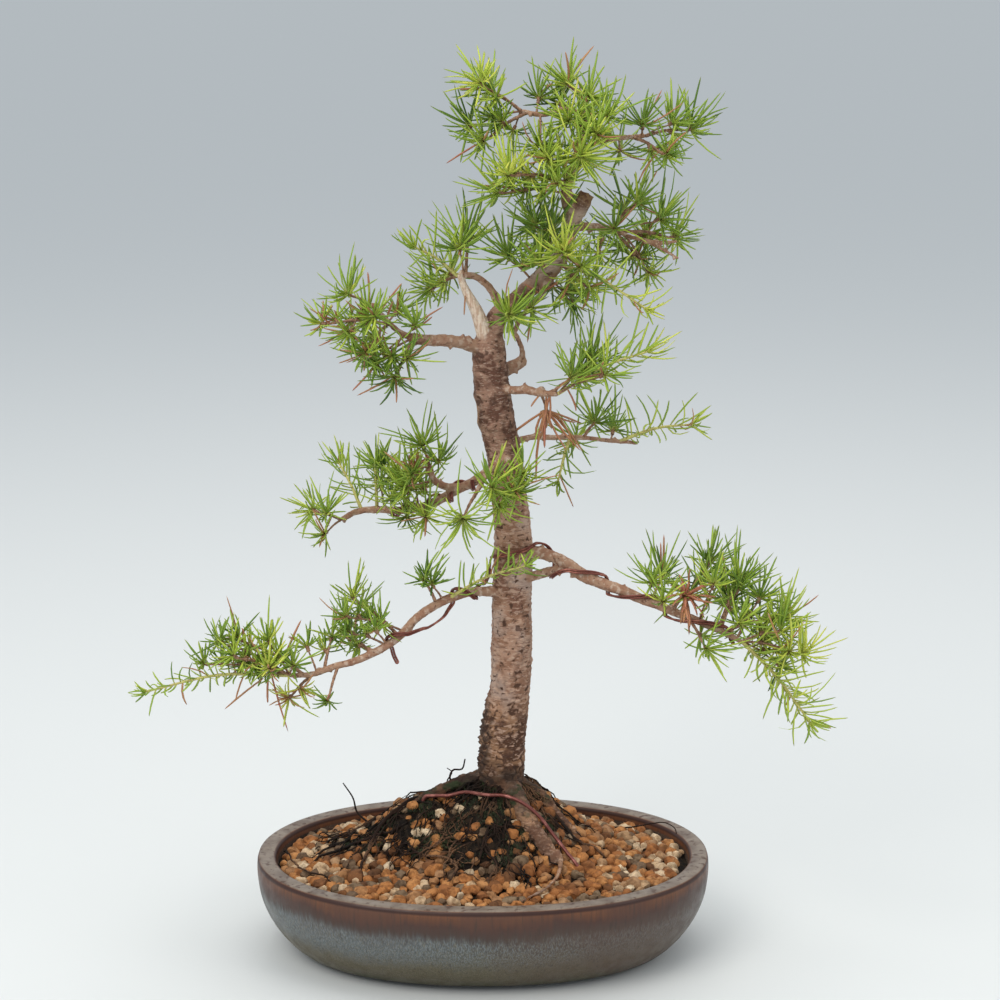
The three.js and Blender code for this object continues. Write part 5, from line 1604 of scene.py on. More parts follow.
@dataclass
class Moss:
    """Short blades of dark moss in clumps over the root mat."""

    CLUMPS = 1700
    BLADES = 8
    CLEAR_OF_TRUNK = 13
    THINNEST = -0.12
    LENGTHS = (1.4, 3.2)
    LEAN = 0.9

    @staticmethod
    def blade() -> Stamp:
        """Models a blade of length 1 as a slim three-sided spike."""
        bpy.ops.object.select_all(action="DESELECT")
        bpy.ops.mesh.primitive_cone_add(vertices=3, radius1=0.13, radius2=0, depth=1, location=(0, 0, 0.5))
        bpy.ops.object.transform_apply(location=True)
        return Stamp.of(Bench.named("blade"))

    def build(self) -> bpy.types.Object:
        """Sows the clumps where the mat lies."""
        draws = seeded("moss")
        patches = np.array(MAT_PATCHES)
        chosen = draws.integers(0, len(patches), self.CLUMPS * 2)
        away = patches[chosen, 2] * 1.05 * np.sqrt(draws.uniform(size=len(chosen)))
        round_it = draws.uniform(0, 2 * math.pi, len(chosen))
        x = patches[chosen, 0] + away * np.cos(round_it)
        y = patches[chosen, 1] + away * np.sin(round_it)
        green = noises(np.column_stack([x / 14, y / 14, np.full(len(x), 5)]))
        keep = (from_trunk(x, y) > self.CLEAR_OF_TRUNK) & (green > self.THINNEST)
        x, y, green = x[keep][: self.CLUMPS], y[keep][: self.CLUMPS], green[keep][: self.CLUMPS]
        count = len(x) * self.BLADES
        root = np.repeat(np.column_stack([x, y, ground(x, y) - 0.9]), self.BLADES, axis=0)
        root[:, :2] += draws.normal(0, 0.55, (count, 2))
        lean = draws.uniform(0, self.LEAN, count)
        way = draws.uniform(0, 2 * math.pi, count)
        direction = np.column_stack([np.sin(lean) * np.cos(way), np.sin(lean) * np.sin(way), np.cos(lean)])
        long = draws.uniform(*self.LENGTHS, count)
        stamp = self.blade()
        across = unit(np.cross(direction, [[0.3, 0.2, 0.9]]))
        axes = np.stack([across, np.cross(direction, across), direction], axis=1) * long[:, None, None]
        placed = np.einsum("pk,nkj->npj", stamp.points, axes) + root[:, None]
        tone = np.clip(np.repeat(green, self.BLADES) + 0.3 + draws.uniform(-0.25, 0.25, count), 0, 1)
        copies = Copies()
        copies.add(placed, stamp.faces, tone=tone[:, None], along=stamp.points[None, :, 2])
        return deliver(copies.build("moss"), "soil", [MOSS], "soil")


@dataclass
class FineRoots:
    """Thin dark roots over the soil, some of them listed and the rest seeded over the mat.

    A listed root has its places on the ground, its radius and its lift. A free one has its points and its
    radius.
    """

    LISTED = (
        (((-45, -2), (-53, -5), (-62, -2), (-71, -1), (-83, 2), (-95, -4), (-103, -15)), 0.9, 1.6),
        (((-26, 19), (-32, 10), (-41, 10), (-50, 7), (-59, 5), (-67, -7), (-73, -33)), 1.1, 2.2),
        (((28, -1), (37, 2), (44, 0), (49, -7), (55, -13), (64, -12), (73, -13)), 1.0, 2.4),
        (((-30, 9), (-51, 6), (-84, 10), (-105, -4)), 0.8, 1.4),
        (((-121, 12), (-113, -14), (-105, -28), (-86, -44)), 0.55, 2.6),
        (((-48, -12), (-40, -24), (-26, -33), (-12, -41)), 0.8, 1.8),
        (((-14, -22), (-20, -34), (-15, -46), (-22, -58)), 0.7, 2.0),
        (((4, -18), (1, -32), (8, -44), (2, -58)), 0.7, 2.0),
        (((-60, 22), (-74, 30), (-88, 22), (-99, 16)), 0.8, 2.0),
    )
    FREE = (
        (((-70, 50, 56), (-78.9, 57, 61.7), (-81.3, 57, 70.9), (-87.4, 57, 80.7)), 0.65),
        (((-14, 16, 94), (-19.9, 14, 98), (-18.1, 14, 103.7), (-12.7, 14, 104.3), (-10.8, 14, 110.6)), 0.7),
        (((-16, 15, 94), (-21.7, 14, 96.1), (-18.7, 14, 102.4), (-21.7, 14, 104.9)), 0.5),
        (((70, 48, 56), (89, 38, 58.5), (104, 33, 63), (111, 30, 64.5), (117, 27, 62), (118, 26, 58.6)),
         0.5),
    )
    WANDERING = 230
    TANGLED = 120
    WANDERING_WALK = ((6, 17), 0.30, 2.0)
    TANGLED_WALK = ((5, 13), 0.34, 1.9)

    def build(self) -> bpy.types.Object:
        """Lays the roots on the ground."""
        tubes = Tubes()
        draws = seeded("roots")
        for places, radius, lift in self.LISTED:
            line = Route([(x, y, 0) for x, y in places]).spaced(2.2)[0]
            self.lay(tubes, draws, line[:, :2], radius, lift)
        for points, radius in self.FREE:
            line, _ = Route(points).spaced(1.6)
            tubes.add(line, radius * np.linspace(1.1, 0.6, len(line)))
        for _ in range(self.TANGLED):
            heading = draws.uniform(0, 2 * math.pi)
            place = np.array([TRUNK_X, TRUNK_Y]) + draws.uniform(11, 19) * toward(heading)
            line = self.walk(draws, place, heading, *self.TANGLED_WALK)
            self.lay(tubes, draws, line, draws.uniform(0.22, 0.52), draws.uniform(1.5, 5.5))
        patches = np.array(MAT_PATCHES)
        for number in range(self.WANDERING):
            x, y, radius = patches[number % len(patches)]
            place = np.array([x, y]) + draws.uniform(-0.8, 0.8, 2) * radius
            heading = math.atan2(place[1] - 16, place[0] - 6) + draws.normal(0, 0.7)
            line = self.walk(draws, place, heading, *self.WANDERING_WALK)
            line = line[: max(3, int(np.argmin(inside_oval(line[:, 0], line[:, 1], 112))) or len(line))]
            self.lay(tubes, draws, line, draws.uniform(0.2, 0.5), draws.uniform(0.6, 3.2))
        return deliver(tubes.build("fine_roots", 1), "bark", [ROOT])

    @staticmethod
    def walk(
        draws: np.random.Generator, place: np.ndarray, heading: float, steps: tuple, sway: float, pace: float
    ) -> np.ndarray:
        """Wanders over the ground.

        Args:
            draws: random draws.
            place: where the walk starts.
            heading: its first direction in radians.
            steps: the least number of steps, and one more than the most.
            sway: how far a step turns from the one before.
            pace: the length of a step.

        Returns:
            The places that it passes.
        """
        line = [place]
        for _ in range(int(draws.integers(*steps))):
            heading += draws.normal(0, sway)
            line.append(line[-1] + pace * toward(heading))
        return np.array(line)

    @staticmethod
    def lay(tubes: Tubes, draws: np.random.Generator, line: np.ndarray, radius: float, lift: float) -> None:
        """Lays one root on the ground, its ends dipping in."""
        wave = np.sin(np.linspace(0, math.pi, len(line)))
        bumps = 0.6 * np.sin(np.linspace(0, draws.uniform(6, 14), len(line)) + draws.uniform(0, 6))
        line = line + draws.normal(0, 0.3, line.shape)
        z = ground(line[:, 0], line[:, 1]) - 1.2 + (lift + 1.2 + bumps) * np.minimum(1, 2.4 * wave)
        tubes.add(np.column_stack([line, z]), radius * (0.55 + 0.45 * wave**0.5))


@dataclass(frozen=True)
class BarkMark:
    """A knot or a pruning wound on the trunk: its height, its bearing in degrees, its size, its kind."""

    height: float
    bearing: float
    size: float
    healed: bool = True


@dataclass
class Wood:
    """The tree's wood, grown as one: limbs, knobs, collars, spurs, bark relief and marks.

    A knob has its limb, its share of the limb's length, its bearing and its size.
    """

    voxel: float
    routes: dict = field(default_factory=dict)
    KNOBS = (
        ("trunk", 0.82, 3.5, 4), ("trunk", 0.455, 2.6, 3.6), ("trunk", 0.36, 3.1, 3.4),
        ("trunk", 0.28, 3.9, 3.8), ("trunk", 0.37, 1.2, 3.4), ("trunk", 0.67, 0.7, 3.4),
        ("up_left", 0.3, 0.2, 2.4), ("right_mid", 0.72, 0.3, 2.6), ("low_right", 0.36, 5.9, 2.4),
    )
    MARKS = (
        BarkMark(194.9, -124, 4.6), BarkMark(162.7, -123, 4.8), BarkMark(131.4, -127, 4.4),
        BarkMark(316.9, -51, 4.2), BarkMark(244, -63, 3.4), BarkMark(334, -93, 3.2),
        BarkMark(325, 186, 7.5, healed=False), BarkMark(279, -58, 3.4), BarkMark(176, -62, 3.0),
        BarkMark(222, -96, 2.8), BarkMark(116, -70, 3.6), BarkMark(260, 60, 4.4), BarkMark(150, 95, 4.8),
        BarkMark(200, 140, 4.2), BarkMark(352, -60, 3.0),
    )
    CUT_ENDS = ("up_left", "right_stub", "snag")
    TORN_STRIP = (126, -160, 36, 10)
    SPUR_STEP = 6.4

    def build(self) -> bpy.types.Object:
        """Grows the limbs together and shapes their bark."""
        tubes = Tubes()
        for name, limb in LIMBS.items():
            self.routes[name] = Route(limb.route, limb.radii)
            tubes.add(*self.routes[name].spaced(2.0))
        self.spurs(tubes)
        wood = tubes.build("larch_wood", 4)
        wood = Bench.joined("larch_wood", [wood, *self.knobs()])
        Bench.modify(wood, "REMESH", mode="VOXEL", voxel_size=self.voxel * MM, use_smooth_shade=True)
        Bench.modify(wood, "SMOOTH", factor=0.5, iterations=3)
        self.shape(wood)
        Bench.smooth(wood)
        return deliver(wood, "bark", [BARK], "tree_wood")

    def knobs(self) -> list:
        """Builds the knobs of healed cuts on the limbs."""
        made = []
        for name, share, bearing, size in self.KNOBS:
            point, direction, radius = self.routes[name].at(share)
            centre = point + square_to(direction, bearing) * radius * 0.86
            place = {"location": tuple(centre * MM), "radius": size * 0.95 * MM}
            made.append(Bench.primitive("uv_sphere", "knob", segments=16, ring_count=8, **place))
        return made

    def spurs(self, tubes: Tubes) -> None:
        """Sets short ringed spurs in a spiral along the limbs that bear needles."""
        draws = seeded("spurs")
        for name, limb in LIMBS.items():
            route = self.routes[name]
            if limb.bare or not 0.25 < limb.age < 0.7 or name.startswith("root"):
                continue
            shares = np.arange(6, route.length - 2, self.SPUR_STEP) / route.length
            bearing = draws.uniform(0, 6)
            for share in shares + draws.uniform(-0.01, 0.01, len(shares)):
                bearing += GOLDEN_ANGLE
                if draws.uniform() < 0.3:
                    continue
                point, direction, radius = route.at(share)
                out = unit(square_to(direction, bearing) + direction * draws.uniform(0, 0.6))
                long = radius * 0.6 + draws.uniform(0.9, 2.4)
                line = point + out * radius * 0.4 + np.linspace(0, 1, 5)[:, None] * out * long
                tubes.add(line, np.array([1.3, 1.2, 1.3, 1.15, 0.8]) * draws.uniform(0.75, 1.05))

    def nearness(self, points: np.ndarray) -> dict:
        """Returns, for each limb, how far points lie off its surface."""
        found = {}
        flat = points.astype(np.float32)
        own = (flat**2).sum(axis=1)
        for name, route in self.routes.items():
            line, radii = route.spaced(4)
            line = line.astype(np.float32)
            squared = own[:, None] - 2 * flat @ line.T + (line**2).sum(axis=1)[None]
            gaps = np.sqrt(np.maximum(squared, 0)) - radii[None]
            found[name] = gaps.min(axis=1)
        return found

    def shape(self, wood: bpy.types.Object) -> None:
        """Raises the bark's plates, rings and scars, and keeps its marks for the finish."""
        points, normals = Bench.points(wood), Bench.vectors(wood, "normal")
        near = self.nearness(points)
        gaps = np.stack([near[name] for name in LIMBS])
        weights = np.exp(-(gaps - gaps.min(axis=0)) / 0.9)
        weights /= weights.sum(axis=0)
        age = np.array([limb.age for limb in LIMBS.values()]) @ weights
        bare = np.array([limb.bare for limb in LIMBS.values()]) @ weights
        plates, flakes, swell = self.textures(points)
        old = smooth_step(age, 0.4, 0.85)
        low = smooth_step(-points[:, 2], -170, -120)
        deep = 0.16 + 0.40 * low
        rise = old * (deep * (plates - 0.7) + 0.34 * flakes) + (1 - old) * 0.15 * flakes + swell * 0.55 * old
        rise = rise * (1 - 0.75 * bare)
        scars = self.scars(points, normals)
        rise = np.where(scars["near"] > 0, rise * (1 - scars["near"]), rise) + scars["rise"]
        height = points[:, 2]
        strip = self.patch(points, *self.TORN_STRIP) * (near["trunk"] < 3)
        rise += strip * (0.9 + 1.1 * flakes)
        Bench.place(wood, points + normals * rise[:, None])
        wander = noises(points / 9)
        grown = smooth_step(age, 0.6, 0.8)
        foot = smooth_step(-height + 9 * wander, -116, -102) * smooth_step(height, 82, 92)
        moss = smooth_step(-height + 10 * wander, -104, -94) * grown * smooth_step(height, 80, 92)
        torn = strip * smooth_step(wander + flakes, -0.6, 0.2) * 0.9
        marks = {
            "age": age,
            "bare": smooth_step(bare, 0.35, 0.7),
            "relief": np.clip(0.5 + (0.25 + 0.35 * low) * (plates - 0.75) + 0.42 * flakes, 0, 1),
            "wound": scars["wound"],
            "dark": np.clip(scars["dark"] + torn, 0, 1),
            "foot": foot * grown,
            "moss": moss,
        }
        for name, values in marks.items():
            Bench.mark(wood, name, values)

    @staticmethod
    def textures(points: np.ndarray) -> tuple:
        """Draws the bark's low plates, its thin flakes and its slow swelling at each point."""
        plates, flakes = np.empty(len(points)), np.empty(len(points))
        for i, (x, y, z) in enumerate(points):
            warp = noise.noise(Vector((x / 8, y / 8, z / 8))) * 2.0
            near = noise.voronoi(Vector(((x + warp) / 5.4, (y - warp) / 5.4, (z + warp) / 3.6)))[0]
            plates[i] = near[1] - near[0]
            flakes[i] = noise.multi_fractal(Vector((x / 3.6, y / 3.6, z / 1.9)), 1.0, 2.1, 3)
        flakes = np.clip((flakes - flakes.mean()) / (2.2 * flakes.std()), -1, 1)
        return smooth_step(plates, 0.0, 0.22), flakes, noises(points / (14, 14, 22))

    def trunk_spot(self, height: float, bearing: float) -> np.ndarray:
        """Returns a place on the trunk's surface."""
        point, _, radius = on_trunk(self.routes, height)
        return point + radius * np.array([*toward(math.radians(bearing)), 0])

    def patch(
        self, points: np.ndarray, height: float, bearing: float, tall: float, wide: float
    ) -> np.ndarray:
        """Works out a soft oval mask on the trunk.

        Args:
            points: the wood's points.
            height: the height of its middle.
            bearing: the side of the trunk that it lies on, in degrees.
            tall: its reach up and down.
            wide: its reach to the sides.

        Returns:
            A number for each point, 1 at the middle and 0 outside.
        """
        away = points - self.trunk_spot(height, bearing)
        reach = np.sqrt((away[:, 0] ** 2 + away[:, 1] ** 2) / wide**2 + away[:, 2] ** 2 / tall**2)
        return 1 - smooth_step(reach, 0.5, 1.0)

    def scars(self, points: np.ndarray, normals: np.ndarray) -> dict:
        """Works out the knots, the open wound and the cut ends.

        Args:
            points: the wood's points.
            normals: their outward directions.

        Returns:
            Numbers for each point: rise, near, wound and dark.
        """
        found = {key: np.zeros(len(points)) for key in ("rise", "near", "wound", "dark")}

        def keep(key: str, values: np.ndarray) -> None:
            """Raises one of the numbers to these values."""
            found[key] = np.maximum(found[key], values)

        wave = noises(points / 2.2)
        for mark in self.MARKS:
            away = points - self.trunk_spot(mark.height, mark.bearing)
            away[:, 2] *= 0.62
            reach = np.linalg.norm(away, axis=1) / mark.size
            ring = np.exp(-(((reach - 0.72) / 0.22) ** 2))
            keep("near", 1 - smooth_step(reach, 0.5, 1.1))
            if mark.healed:
                found["rise"] += 1.1 * np.exp(-((reach / 0.5) ** 2)) - 0.6 * ring
                hole = np.exp(-((reach / 0.25) ** 2))
                keep("dark", 0.72 * np.maximum(ring * smooth_step(wave, -0.5, 0.4), hole))
                continue
            found["rise"] += 0.9 * ring - 0.4 * (1 - smooth_step(reach, 0.1, 0.55))
            keep("wound", 1 - smooth_step(reach, 0.55, 0.72))
            keep("dark", 0.85 * np.exp(-(((reach - 0.86) / 0.12) ** 2)))
        for name in self.CUT_ENDS:
            end, direction, radius = self.routes[name].at(1.0)
            away = np.linalg.norm(points - end, axis=1)
            flat = smooth_step(normals @ direction, 0.55, 0.85) * (away < radius * 1.5)
            centre = 1 - smooth_step(away / radius, 0.6, 0.8)
            keep("wound", 0.8 * flat * centre)
            keep("dark", 0.6 * flat * (1 - centre))
            if name == "snag":
                torn = (1 - smooth_step(away, 5, 10)) * smooth_step(points[:, 2], 437, 444)
                keep("wound", 0.8 * torn)
                found["dark"] = np.maximum(found["dark"] * 0.5, 0.45 * torn)
        return found


@dataclass
class Wires:
    """The training wires wound round three limbs, and the wire that ties the roots down.

    Each winding is rows of a share of the limb's length, turns and a lift off the limb.
    """

    routes: dict
    STEPS = 24
    STRAND = 0.64
    BULGE = 1.06
    WIND_LOW_LEFT = (
        (0.122, 0, 0), (0.149, -0.5, 0), (0.238, -1, 0), (0.256, -1.45, 0), (0.33, -1.55, 4),
        (0.42, -1.6, 4.5), (0.503, -1.75, 1.5), (0.565, -2, 0), (0.58, -2.25, 0),
    )
    WIND_LOW_RIGHT = (
        (0.105, 0, 0), (0.15, 0.25, 1.5), (0.195, 0.5, 7.5), (0.235, 0.62, 4), (0.28, 0.75, 1),
        (0.401, 1, 0), (0.444, 1.5, 0), (0.639, 2, 0), (0.69, 2.5, 0), (0.925, 3, 0), (0.975, 3.5, 0),
    )
    WIND_MID_LEFT = ((0.22, 0.22, 0), (0.74, 3.72, 0))
    ARC_LOW_LEFT = (236, -10, 198, 186, 3)
    ARC_LOW_RIGHT = (238, 7, 203, 325, 6)
    LOW_LEFT_TAIL = ((-53, -15.5, 188.5), (-51.6, -16.5, 184), (-49.7, -18, 180.3))
    TIE_OVER = (
        (-35, 7, -1), (-29, 6, 0), (-21, 4, 0), (-11, 2, 0), (2, -5, 0.4), (14, -9, 3.4),
        (24, -13, 5.4), (33, -17, 5.2), (41, -22, 2.4), (49, -29, 0),
    )
    TIE_RISING = ((-28.6, 0, 2.5), (-WIRE_HOLE_X, 0, 5), (-WIRE_HOLE_X, 0, 16), (-33, 1, 30), (-36, 3, 55))
    TIE_SINKING = ((56, -36, 60), (54, -31, 46), (44, -16, 28), (WIRE_HOLE_X, 0, 16), (WIRE_HOLE_X, 0, 5))
    TIE_UNDER = ((28.6, 0, 2.5), (26, 0, 1.9), (0, 0, 1.9), (-26, 0, 1.9))
    TIE_HEIGHT = 4.25

    def wound(self, limb: str, marks: tuple) -> np.ndarray:
        """Winds a line round a limb.

        Args:
            limb: the limb's name.
            marks: the rows of its winding.

        Returns:
            The line's points.
        """
        line = []
        for mark, after in zip(marks, [*marks[1:], marks[-1]]):
            count = max(1, round(abs(after[1] - mark[1]) * self.STEPS))
            for step in range(count):
                share, turn, lift = (a + (b - a) * step / count for a, b in zip(mark, after))
                point, direction, radius = self.routes[limb].at(share)
                reach = radius + WIRE_DIAMETER / 2 + 0.3 + lift
                line.append(point + square_to(direction, 2 * math.pi * turn) * reach)
        return np.array(line)

    def round_trunk(self, z: float, rise: float, start: float, end: float, count: int) -> np.ndarray:
        """Lays an arc over the trunk's surface, between two bearings in degrees."""
        line = []
        for share in np.linspace(0, 1, count):
            height = z + rise * share
            point, _, radius = on_trunk(self.routes, height)
            reach = radius * self.BULGE + WIRE_DIAMETER / 2 + GAP + 0.2
            way = toward(math.radians(start + (end - start) * share))
            line.append([*(point[:2] + way * reach), height])
        return np.array(line)

    def tie(self) -> np.ndarray:
        """Returns the tie wire's line: over the roots, through the soil and under the floor."""
        over = [(x, y, float(ground(x, y)) + self.TIE_HEIGHT + lift) for x, y, lift in self.TIE_OVER]
        return Route([*self.TIE_RISING, *over, *self.TIE_SINKING, *self.TIE_UNDER]).spaced(1.4)[0]

    def build(self) -> None:
        """Builds the four wires."""
        low_left = [self.round_trunk(*self.ARC_LOW_LEFT), self.wound("low_left", self.WIND_LOW_LEFT)]
        low_right = [self.round_trunk(*self.ARC_LOW_RIGHT), self.wound("low_right", self.WIND_LOW_RIGHT)]
        lines = {
            "low_left": np.vstack([*low_left, self.LOW_LEFT_TAIL]),
            "low_right": np.vstack(low_right),
            "mid_left": self.wound("mid_left", self.WIND_MID_LEFT),
        }
        for name, line in lines.items():
            self.draw(f"training_wire_{name}", line, WIRE, f"wire_{name}", name)
        self.draw("root_tie_wire", self.tie(), TIE, "tie_wire")

    def draw(self, name: str, line: np.ndarray, finish: Finish, node: str, limb: str = "") -> None:
        """Draws one wire along its line.

        Args:
            name: the piece's name.
            line: its points.
            finish: its material.
            node: the CAD node that it stands for.
            limb: the limb that it lies on in two strands side by side, if it is folded.
        """
        tubes = Tubes()
        points, _ = Route(self.thinned(line)).spaced(0.8)
        if limb:
            tubes.add(self.folded(points, limb), self.STRAND)
        else:
            tubes.add(points, WIRE_DIAMETER / 2 * 0.9)
        deliver(tubes.build(name, 3), "wire", [finish], node)

    @staticmethod
    def thinned(line: np.ndarray) -> np.ndarray:
        """Drops points that lie closer than 1.2 mm to the one before."""
        kept = [line[0]]
        for point in line[1:]:
            if np.linalg.norm(point - kept[-1]) > 1.2:
                kept.append(point)
        return np.array(kept)

    def folded(self, line: np.ndarray, limb: str) -> np.ndarray:
        """Runs out along one side of a line, round its end and back along the other side.

        Args:
            line: the middle line of both strands.
            limb: the limb that the strands lie on, past the trunk.

        Returns:
            The single line of the folded wire.
        """
        ways = unit(np.gradient(line, axis=0))
        cores = np.vstack([self.routes[limb].points, self.routes["trunk"].points])
        side = np.cross(ways[0], [0.0, 0.0, 1.0])
        sides = []
        for point, way in zip(line, ways):
            outward = point - cores[((cores - point) ** 2).sum(axis=1).argmin()]
            wanted = unit(np.cross(way, outward))
            side = side * 0.7 + wanted * (0.3 if wanted @ side > 0 else -0.3)
            side = unit(side - way * (side @ way))
            sides.append(side)
        sides = np.array(sides) * (self.STRAND + 0.03)
        swing = np.linspace(-0.5, 0.5, 7)[1:-1] * math.pi
        turn = np.sin(swing)[:, None] * -sides[-1] + np.cos(swing)[:, None] * ways[-1] * self.STRAND
        return np.vstack([line + sides, line[-1] + turn, (line - sides)[::-1]])


class NeedleShape:
    """The needle that every spray copies, modelled once with length 1 and width 1."""

    SIDES = 3
    PARTS = ((0.10, 1.75), (0.38, 1.12), (0.70, 1.0), (0.93, 0.70))

    def __init__(self) -> None:
        """Models the needle: a ring extruded through its parts and merged to a tip."""
        bpy.ops.object.select_all(action="DESELECT")
        bpy.ops.mesh.primitive_circle_add(vertices=self.SIDES, radius=0.26, fill_type="NGON")
        needle = Bench.named("needle")
        Bench.edit(needle)
        bpy.ops.mesh.select_mode(type="EDGE")
        reached = 0.0
        for place, swell in self.PARTS:
            move = {"value": (0, 0, place - reached)}
            bpy.ops.mesh.extrude_edges_move(TRANSFORM_OT_translate=move)
            bpy.ops.transform.resize(value=(swell, swell, 1), center_override=(0, 0, place))
            reached = place
        bpy.ops.mesh.extrude_edges_move(TRANSFORM_OT_translate={"value": (0, 0, 1 - reached)})
        bpy.ops.mesh.merge(type="CENTER")
        Bench.close()
        Bench.outward(needle)
        self.stamp = Stamp.of(needle)
        self.along = np.clip(self.stamp.points[None, :, 2], 0, 1)

    def placed(
        self, roots: np.ndarray, ways: np.ndarray, long: np.ndarray, wide: float, bends: np.ndarray
    ) -> np.ndarray:
        """Places copies, each bent along its length.

        Args:
            roots: where each needle starts.
            ways: the direction in which each starts.
            long: their lengths.
            wide: their width.
            bends: how far each tip is carried off its straight line.

        Returns:
            The points, needles by points by 3.
        """
        along = self.stamp.points[:, 2]
        across = unit(np.cross(ways, [[0.21, 0.37, 0.9]]))
        over = np.cross(ways, across)
        placed = roots[:, None] + ways[:, None] * (along[None, :, None] * long[:, None, None])
        placed += bends[:, None] * (along**2)[None, :, None]
        placed += across[:, None] * (self.stamp.points[:, 0] * wide)[None, :, None]
        return placed + over[:, None] * (self.stamp.points[:, 1] * wide * 0.7)[None, :, None]


@dataclass
class Foliage:
    """One spray: its twig, its ringed spurs and its needles."""

    spray: Spray
    start: np.ndarray
    needle: NeedleShape
    node: str = ""
    dead: bool = False
    draws: np.random.Generator = None
    copies: Copies = field(default_factory=Copies)
    twigs: Tubes = field(default_factory=Tubes)
    stems: Tubes = field(default_factory=Tubes)
    TUFT_COUNT = 31
    SPUR_LENGTHS = (2.2, 4.2)
    SPUR_RADII = (1.15, 1.45)
    SPREAD, DEAD_SPREAD = 1.12, 0.55
    TUFT_LENGTH = 20.5
    SHOOT_LENGTH = 21.0
    SHOOT_STEP = 1.5
    TIP_COUNT = 9
    WIDTH = 1.45
    LIMB_FULLNESS = {"low_left": 0.72, "low_right": 0.86, "mid_left": 0.9}
    LIMB_LENGTHS = {
        "low_left": 0.67, "low_right": 0.88, "mid_left": 0.9, "mid_left_arm": 0.92, "up_left_twig": 0.82,
        "up_left": 0.86, "apex": 0.94, "apex_left": 0.86, "apex_right": 0.90, "apex_back": 0.94,
        "right_upper": 0.92,
    }

    def build(self) -> bpy.types.Object:
        """Grows the spray."""
        self.draws = seeded(self.spray.name)
        reach = np.array(self.spray.reach, float)
        size = float(np.linalg.norm(reach))
        middle = self.start + reach / 2 + np.array([0, 0, 0.06 * size])
        route = Route((self.start, middle, self.start + reach))
        if self.spray.form is Form.SHOOT:
            self.shoot(route)
        else:
            self.tufted(route, size)
        for number, tubes in enumerate((self.twigs, self.stems)):
            if tubes.runs:
                flat = Stamp.of(tubes.build("twig", 1))
                points = flat.points[None] / MM
                self.copies.add(points, flat.faces, number, tone=0.0, along=0.0, dry=0.0)
        name = f"foliage_{self.spray.name}"
        if self.dead:
            name = self.spray.name.replace("dry_", "dry_needles_")
        slot = "dead_needles" if self.dead else "green_needles"
        nodes = (self.node,) if self.node else ()
        return deliver(self.copies.build(name), slot, [TWIG, STEM, NEEDLE], *nodes)

    def tufted(self, route: Route, size: float) -> None:
        """Sets rosettes on spurs along a woody twig."""
        line, _ = route.spaced(1.2)
        ringed = 1 + 0.10 * np.sin(np.arange(len(line)) * 2.1)
        thick = 1.0 if self.node else 0.68
        self.twigs.add(line, np.linspace(1.1, 0.72, len(line)) * ringed * thick)
        self.tuft(route, 1.0, route.directions_at([1.0])[0], 1.0)
        shares = [0.55] if size > 20 else []
        if size > 30:
            shares = [0.32, 0.58, 0.82]
        bearing = self.draws.uniform(0, 6)
        for share in shares:
            bearing += GOLDEN_ANGLE
            direction = route.directions_at([share])[0]
            out = unit(direction * 0.7 + square_to(direction, bearing * 0.45 - 0.6))
            self.tuft(route, share, out, 0.66)

    def tuft(self, route: Route, share: float, axis: np.ndarray, fullness: float) -> None:
        """Grows one rosette on its spur."""
        draws = self.draws
        axis = unit(axis + np.array([0, 0, -0.3 if self.dead else 0.35]))
        long = draws.uniform(*self.SPUR_LENGTHS)
        line = route.points_at([share])[0] + np.linspace(0, 1, 9)[:, None] * axis * long
        rings = 1 + 0.13 * np.sin(np.arange(9) * 2.4)
        self.twigs.add(line, draws.uniform(*self.SPUR_RADII) * rings * np.linspace(0.85, 1, 9))
        full = fullness * self.spray.fullness * self.LIMB_FULLNESS.get(self.spray.limb, 1.0)
        count = round(self.TUFT_COUNT * full * draws.uniform(0.9, 1.12))
        spread = self.DEAD_SPREAD if self.dead else self.SPREAD
        lean = np.arccos(1 - spread * (np.arange(count) + 0.5) / count) + draws.normal(0, 0.16, count)
        bearings = np.arange(count) * GOLDEN_ANGLE + draws.normal(0, 0.35, count)
        axes = np.repeat(axis[None], count, axis=0)
        ways = leaning(axes, lean, bearings)
        roots = line[-1] + ways * 0.7 - axis * 0.5
        lengths = self.TUFT_LENGTH * draws.uniform(0.62, 1.08, count) * (1 - 0.15 * (lean > 1.2))
        self.bristle(roots, ways, axes, lengths, 0.07)

    def shoot(self, route: Route) -> None:
        """Sets single needles along a new shoot."""
        draws, many = self.draws, self.TIP_COUNT
        line, _ = route.spaced(2.0)
        self.stems.add(line, np.linspace(1.15, 0.6, len(line)))
        count = int(route.length / self.SHOOT_STEP * self.spray.fullness)
        shares = np.linspace(0.07, 1.0, count) ** 0.96
        lean = 1.22 - 0.42 * shares**3 + draws.normal(0, 0.17, count)
        bearings = np.arange(count) * GOLDEN_ANGLE + draws.normal(0, 0.3, count)
        axes = route.directions_at(shares)
        ways = leaning(axes, lean, bearings)
        lengths = self.SHOOT_LENGTH * draws.uniform(0.8, 1.1, count)
        lengths = lengths * (1 - 0.18 * smooth_step(shares, 0.9, 1.0))
        self.bristle(route.points_at(shares) + ways * 0.3, ways, axes, lengths, -0.24)
        tip = np.repeat(axes[-1:], many, axis=0)
        ways = leaning(tip, draws.uniform(0.25, 0.95, many), np.arange(many) * GOLDEN_ANGLE)
        self.bristle(np.repeat(line[-1:], many, axis=0), ways, tip, draws.uniform(9, 16, many), -0.05)

